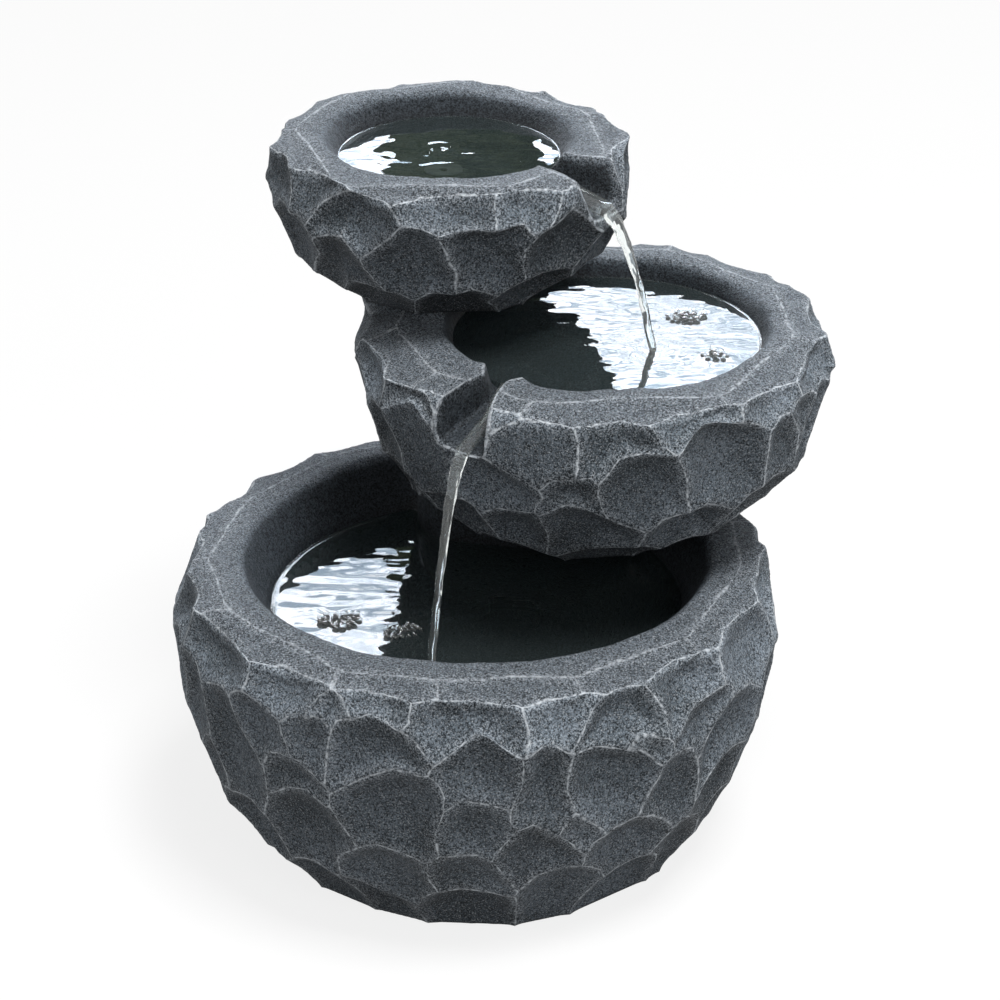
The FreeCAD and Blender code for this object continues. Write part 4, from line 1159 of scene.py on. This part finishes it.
@dataclass
class Sponge:
    """The strainer's foam block, open-celled and soft at its edges."""

    node: str = "filter_sponge"
    name: str = "filter_foam"
    finish: MouldedFinish = MouldedFinish("foam", seen(44, 46, 48), seen(60, 62, 64), 0.0009, (0.9, 1.0), 0.0005)
    flat: float = 0.01
    edge: float = 0.0015
    cuts: int = 22
    shrink: float = 0.0002
    pore: float = 0.0005
    seed: int = 5

    def build(self) -> Object:
        """Make the foam and let it stand for its CAD node.

        Returns:
            The piece.
        """
        block = cad_shell(self.node, self.flat)
        bmesh.ops.bevel(block, geom=block.edges[:], offset=self.edge, segments=2, profile=0.5, affect="EDGES")
        bmesh.ops.subdivide_edges(block, edges=block.edges, cuts=self.cuts, use_grid_fill=True)
        chance = random.Random(self.seed)
        block.normal_update()
        for vertex in block.verts:
            vertex.co -= vertex.normal * (self.shrink + chance.random() * self.pore)
        mesh = to_mesh(block, self.name)
        mesh.materials.append(self.finish.material())
        piece = add_object(self.name, mesh)
        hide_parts(self.node)
        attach(piece, "strainer")
        return piece


@dataclass
class Studio:
    """Floor, lamps, reflecting cards and camera."""

    camera_place: Point = (0.016, -1.600, 1.055)
    camera_pitch: float = 27.2
    focal_pixels: float = 2750.0
    sensor: float = 36.0
    sky: float = 0.34
    floor_half: float = 4.0
    floor_grey: Rgba = (0.38, 0.38, 0.38, 1.0)
    floor_pale: Rgba = (0.92, 0.92, 0.92, 1.0)
    floor_glow: float = 0.82
    aim: Point = (0.0, 0.0, 0.2)

    @staticmethod
    def panel(middle: Point, right: Point, up: Point, material: Material) -> Object:
        """A flat panel.

        Args:
            middle: Its middle.
            right: From its middle to its right edge.
            up: From its middle to its top edge.
            material: Its material, whose name it takes.

        Returns:
            The panel.
        """
        at, across, along = Vector(middle), Vector(right), Vector(up)
        corners = [at - across - along, at + across - along, at + across + along, at - across + along]
        mesh = bpy.data.meshes.new(material.name)
        mesh.from_pydata(corners, [], [(0, 1, 2, 3)])
        mesh.materials.append(material)
        return add_object(material.name, mesh)

    def card(self, name: str, middle: Point, size: tuple[float, float], colours: tuple[Rgba, Rgba],
             strength: tuple[float, float]) -> None:
        """A mottled card that only shiny surfaces see, such as a cloudy sky or a hedge.

        Args:
            name: Name of the card.
            middle: Its middle.
            size: Its width and height.
            colours: Its two colours.
            strength: The brightness of each colour.
        """
        paint = Paint(name)
        height = paint.add("ShaderNodeSeparateXYZ", {0: paint.place}).outputs[2]
        lift = paint.remap(height, 1.10, 1.40, 0.9, 1.65)
        stretched = paint.vector("MULTIPLY", paint.place, (0.45, 1.0, 1.6))
        cloud = paint.remap(paint.noise(stretched, 0.065, 4.0, 0.65, 1.0), 0.40, 0.58, 0.0, 1.0)
        bright = paint.times(lift, paint.remap(cloud, 0.0, 1.0, *strength))
        glow = paint.first("ShaderNodeEmission", {"Color": paint.mix(cloud, *colours), "Strength": bright})
        card = self.panel(middle, (size[0] / 2, 0.0, 0.0), (0.0, 0.0, size[1] / 2), paint.end(glow))
        for ray in ("camera", "diffuse", "transmission", "shadow"):
            setattr(card, "visible_" + ray, False)

    def floor(self) -> None:
        """A plain pale floor that keeps the object's shadow."""
        paint = Paint("floor")
        plain = paint.plain_ray()
        matt = paint.first("ShaderNodeBsdfDiffuse", {"Color": paint.mix(plain, self.floor_grey, self.floor_pale)})
        white = paint.first("ShaderNodeEmission", {"Color": WHITE, "Strength": 1.0})
        both = paint.first("ShaderNodeMixShader", {0: paint.times(plain, self.floor_glow), 1: matt, 2: white})
        half = self.floor_half
        floor = self.panel((0.0, 0.0, 0.0), (half, 0.0, 0.0), (0.0, half, 0.0), paint.end(both))

    def world(self) -> None:
        """White all round for the camera, softer as light."""
        world = bpy.data.worlds.new("studio")
        bpy.context.scene.world = world
        world.use_nodes = True
        graph = Graph(world.node_tree)
        strength = graph.remap(graph.plain_ray(), 0.0, 1.0, self.sky, 1.0)
        back = graph.first("ShaderNodeBackground", {"Color": WHITE, "Strength": strength})
        graph.add("ShaderNodeOutputWorld", {"Surface": back})

    def lamp(self, name: str, place: Point, size: float, power: float) -> None:
        """A square softbox that points at the object.

        Args:
            name: Name of the lamp.
            place: Where it hangs.
            size: Width of its face.
            power: Watts.
        """
        light = bpy.data.lights.new(name, "AREA")
        light.size, light.energy = size, power
        lamp = add_object(name, light)
        lamp.location = place
        lamp.rotation_euler = (Vector(self.aim) - Vector(place)).to_track_quat("-Z", "Y").to_euler()
        lamp.visible_glossy = False

    def camera(self) -> None:
        """The photograph's camera."""
        lens = bpy.data.cameras.new("camera")
        lens.sensor_width = self.sensor
        lens.lens = self.focal_pixels / PIXELS * self.sensor
        camera = add_object("camera", lens)
        camera.location = self.camera_place
        camera.rotation_euler = (math.radians(90.0 - self.camera_pitch), 0.0, 0.0)
        bpy.context.scene.camera = camera

    def build(self) -> None:
        """Set the whole studio up."""
        bpy.context.scene.view_settings.view_transform = "Standard"
        self.floor()
        self.world()
        self.lamp("overhead", (0.85, -0.60, 4.0), size=1.4, power=160.0)
        self.lamp("front", (1.2, -1.9, 1.6), size=1.1, power=14.0)
        self.card("sky_card", (0.0, 2.0, 1.55), size=(2.4, 1.5), strength=(5.5, 15.0),
                  colours=((0.62, 0.80, 1.0, 1.0), (0.93, 0.95, 1.0, 1.0)))
        self.card("hedge_card", (-0.035, 1.95, 1.03), size=(0.21, 0.36), strength=(0.04, 0.22),
                  colours=((0.35, 0.7, 0.25, 1.0), (0.8, 1.0, 0.6, 1.0)))
        self.camera()


def main() -> None:
    """Build the fountain's looks, piece by piece."""
    logging.basicConfig(level=logging.INFO, format="%(name)s: %(message)s")
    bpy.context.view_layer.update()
    Studio().build()
    middle_chute = Chute((0.01599, -0.01410, 0.311), heading=math.radians(238.0), half_throat=0.006, inlet=0.625,
                         left_lean=math.radians(7.0), right_lean=math.radians(5.0))
    top_chute = Chute((0.05799, 0.09188, 0.414), heading=math.radians(-25.0), half_throat=0.0055, inlet=0.052,
                      left_lean=math.radians(3.0), right_lean=math.radians(32.0))
    bowls = [
        StoneBowl("lower_bowl", "lower_tier", foot=0.0, rim=0.197, basin_axis=LOWER_AXIS, mouth=0.154, floor=0.080,
                  floor_height=0.036, waterline=0.160, seed=11, flat_spot=(0.032, 0.178, 0.177), front_lip=0.014,
                  wells=(Well((0.070, 0.102), (-0.005, 0.118), 0.030), Well((-0.022, 0.150), (-0.021, 0.150), 0.020))),
        StoneBowl("middle_bowl", "middle_tier", foot=0.197, rim=0.331, basin_axis=MIDDLE_AXIS, mouth=0.108, floor=0.078,
                  floor_height=0.252, waterline=0.318, seed=23, chute=middle_chute,
                  neck=Neck(SEAT, low=0.197, high=0.336, thin=0.030, thick=0.064)),
        StoneBowl("top_bowl", "top_tier", foot=0.336, rim=0.437, basin_axis=TOP_AXIS, mouth=0.084, floor=0.046,
                  floor_height=0.376, waterline=0.423, seed=37, chute=top_chute, bank=0.005, tone=0.84),
    ]
    middle_landing, lower_landing = (0.117, 0.055, 0.3150), (-0.028, -0.090, 0.1570)
    pools = [
        Pool("lower_pool", "lower_tier", LOWER_AXIS, level=0.158, floor_height=0.036, radius=0.1361, floor=0.096,
             entry=lower_landing, seed=1.0, waist=(0.0984, 0.075)),
        Pool("middle_pool", "middle_tier", MIDDLE_AXIS, level=0.316, floor_height=0.252, radius=0.1023, floor=0.078,
             entry=middle_landing, seed=2.0, climb=0.0006),
        Pool("top_pool", "top_tier", TOP_AXIS, level=0.421, floor_height=0.376, radius=0.0740, floor=0.046,
             entry=(-0.022, 0.150, 0.421), seed=3.0, ring_height=0.0002, ring_reach=0.012, swell=0.0010,
             swell_size=0.026, climb=0.0003),
    ]
    # Each row of a bed: distances downstream, leftwards and up from the throat's floor, and the stream's width.
    streams = [
        Stream("top_stream", "top_tier", "middle_tier", top_chute,
               [(-0.012, 0.0, 0.0045, 0.013), (0.0, 0.0, 0.0035, 0.013), (0.012, -0.001, 0.0026, 0.015),
                (0.024, -0.003, 0.0022, 0.018), (0.032, -0.004, 0.0020, 0.018)],
               middle_landing, widths=(0.018, 0.008), seed=1.0),
        Stream("middle_stream", "middle_tier", "lower_tier", middle_chute,
               [(-0.012, 0.0, 0.0026, 0.012), (0.0, 0.0, 0.0024, 0.009), (0.016, 0.003, 0.0018, 0.009),
                (0.034, 0.004, 0.0016, 0.010), (0.0515, 0.004, 0.0015, 0.011)],
               lower_landing, widths=(0.011, 0.006), seed=2.0),
    ]
    rafts = [
        Bubbles("lower_bubbles", "lower_tier", [((-0.088, -0.028, 0.1581), 0.017, 0.012),
                                                ((-0.048, -0.044, 0.1581), 0.013, 0.009)], seed=4),
        Bubbles("middle_bubbles", "middle_tier", [((0.141, 0.110, 0.3161), 0.014, 0.011),
                                                  ((0.157, 0.046, 0.3161), 0.009, 0.008)], seed=6),
    ]
    running_water = WaterFinish("running_water", (0.92, 0.96, 0.95, 1.0), 0.0, 0.965)
    film = WaterFinish("bubble_film", (0.97, 0.98, 0.98, 1.0), 0.0, 1.0)
    for pieces, recipe, finish in ((bowls, scoop_recipe(), StoneFinish("chiselled_stone").material()),
                                   (pools, ripple_recipe(), WaterFinish("pool_water").material()),
                                   (streams, stream_recipe(), running_water.material()),
                                   (rafts, bubble_recipe(), film.material())):
        for piece in pieces:
            piece.build(recipe, finish)
    Dressing().dress()
    LOG.info("%s", Sponge().build().name)


if __name__ == "__main__":
    main()
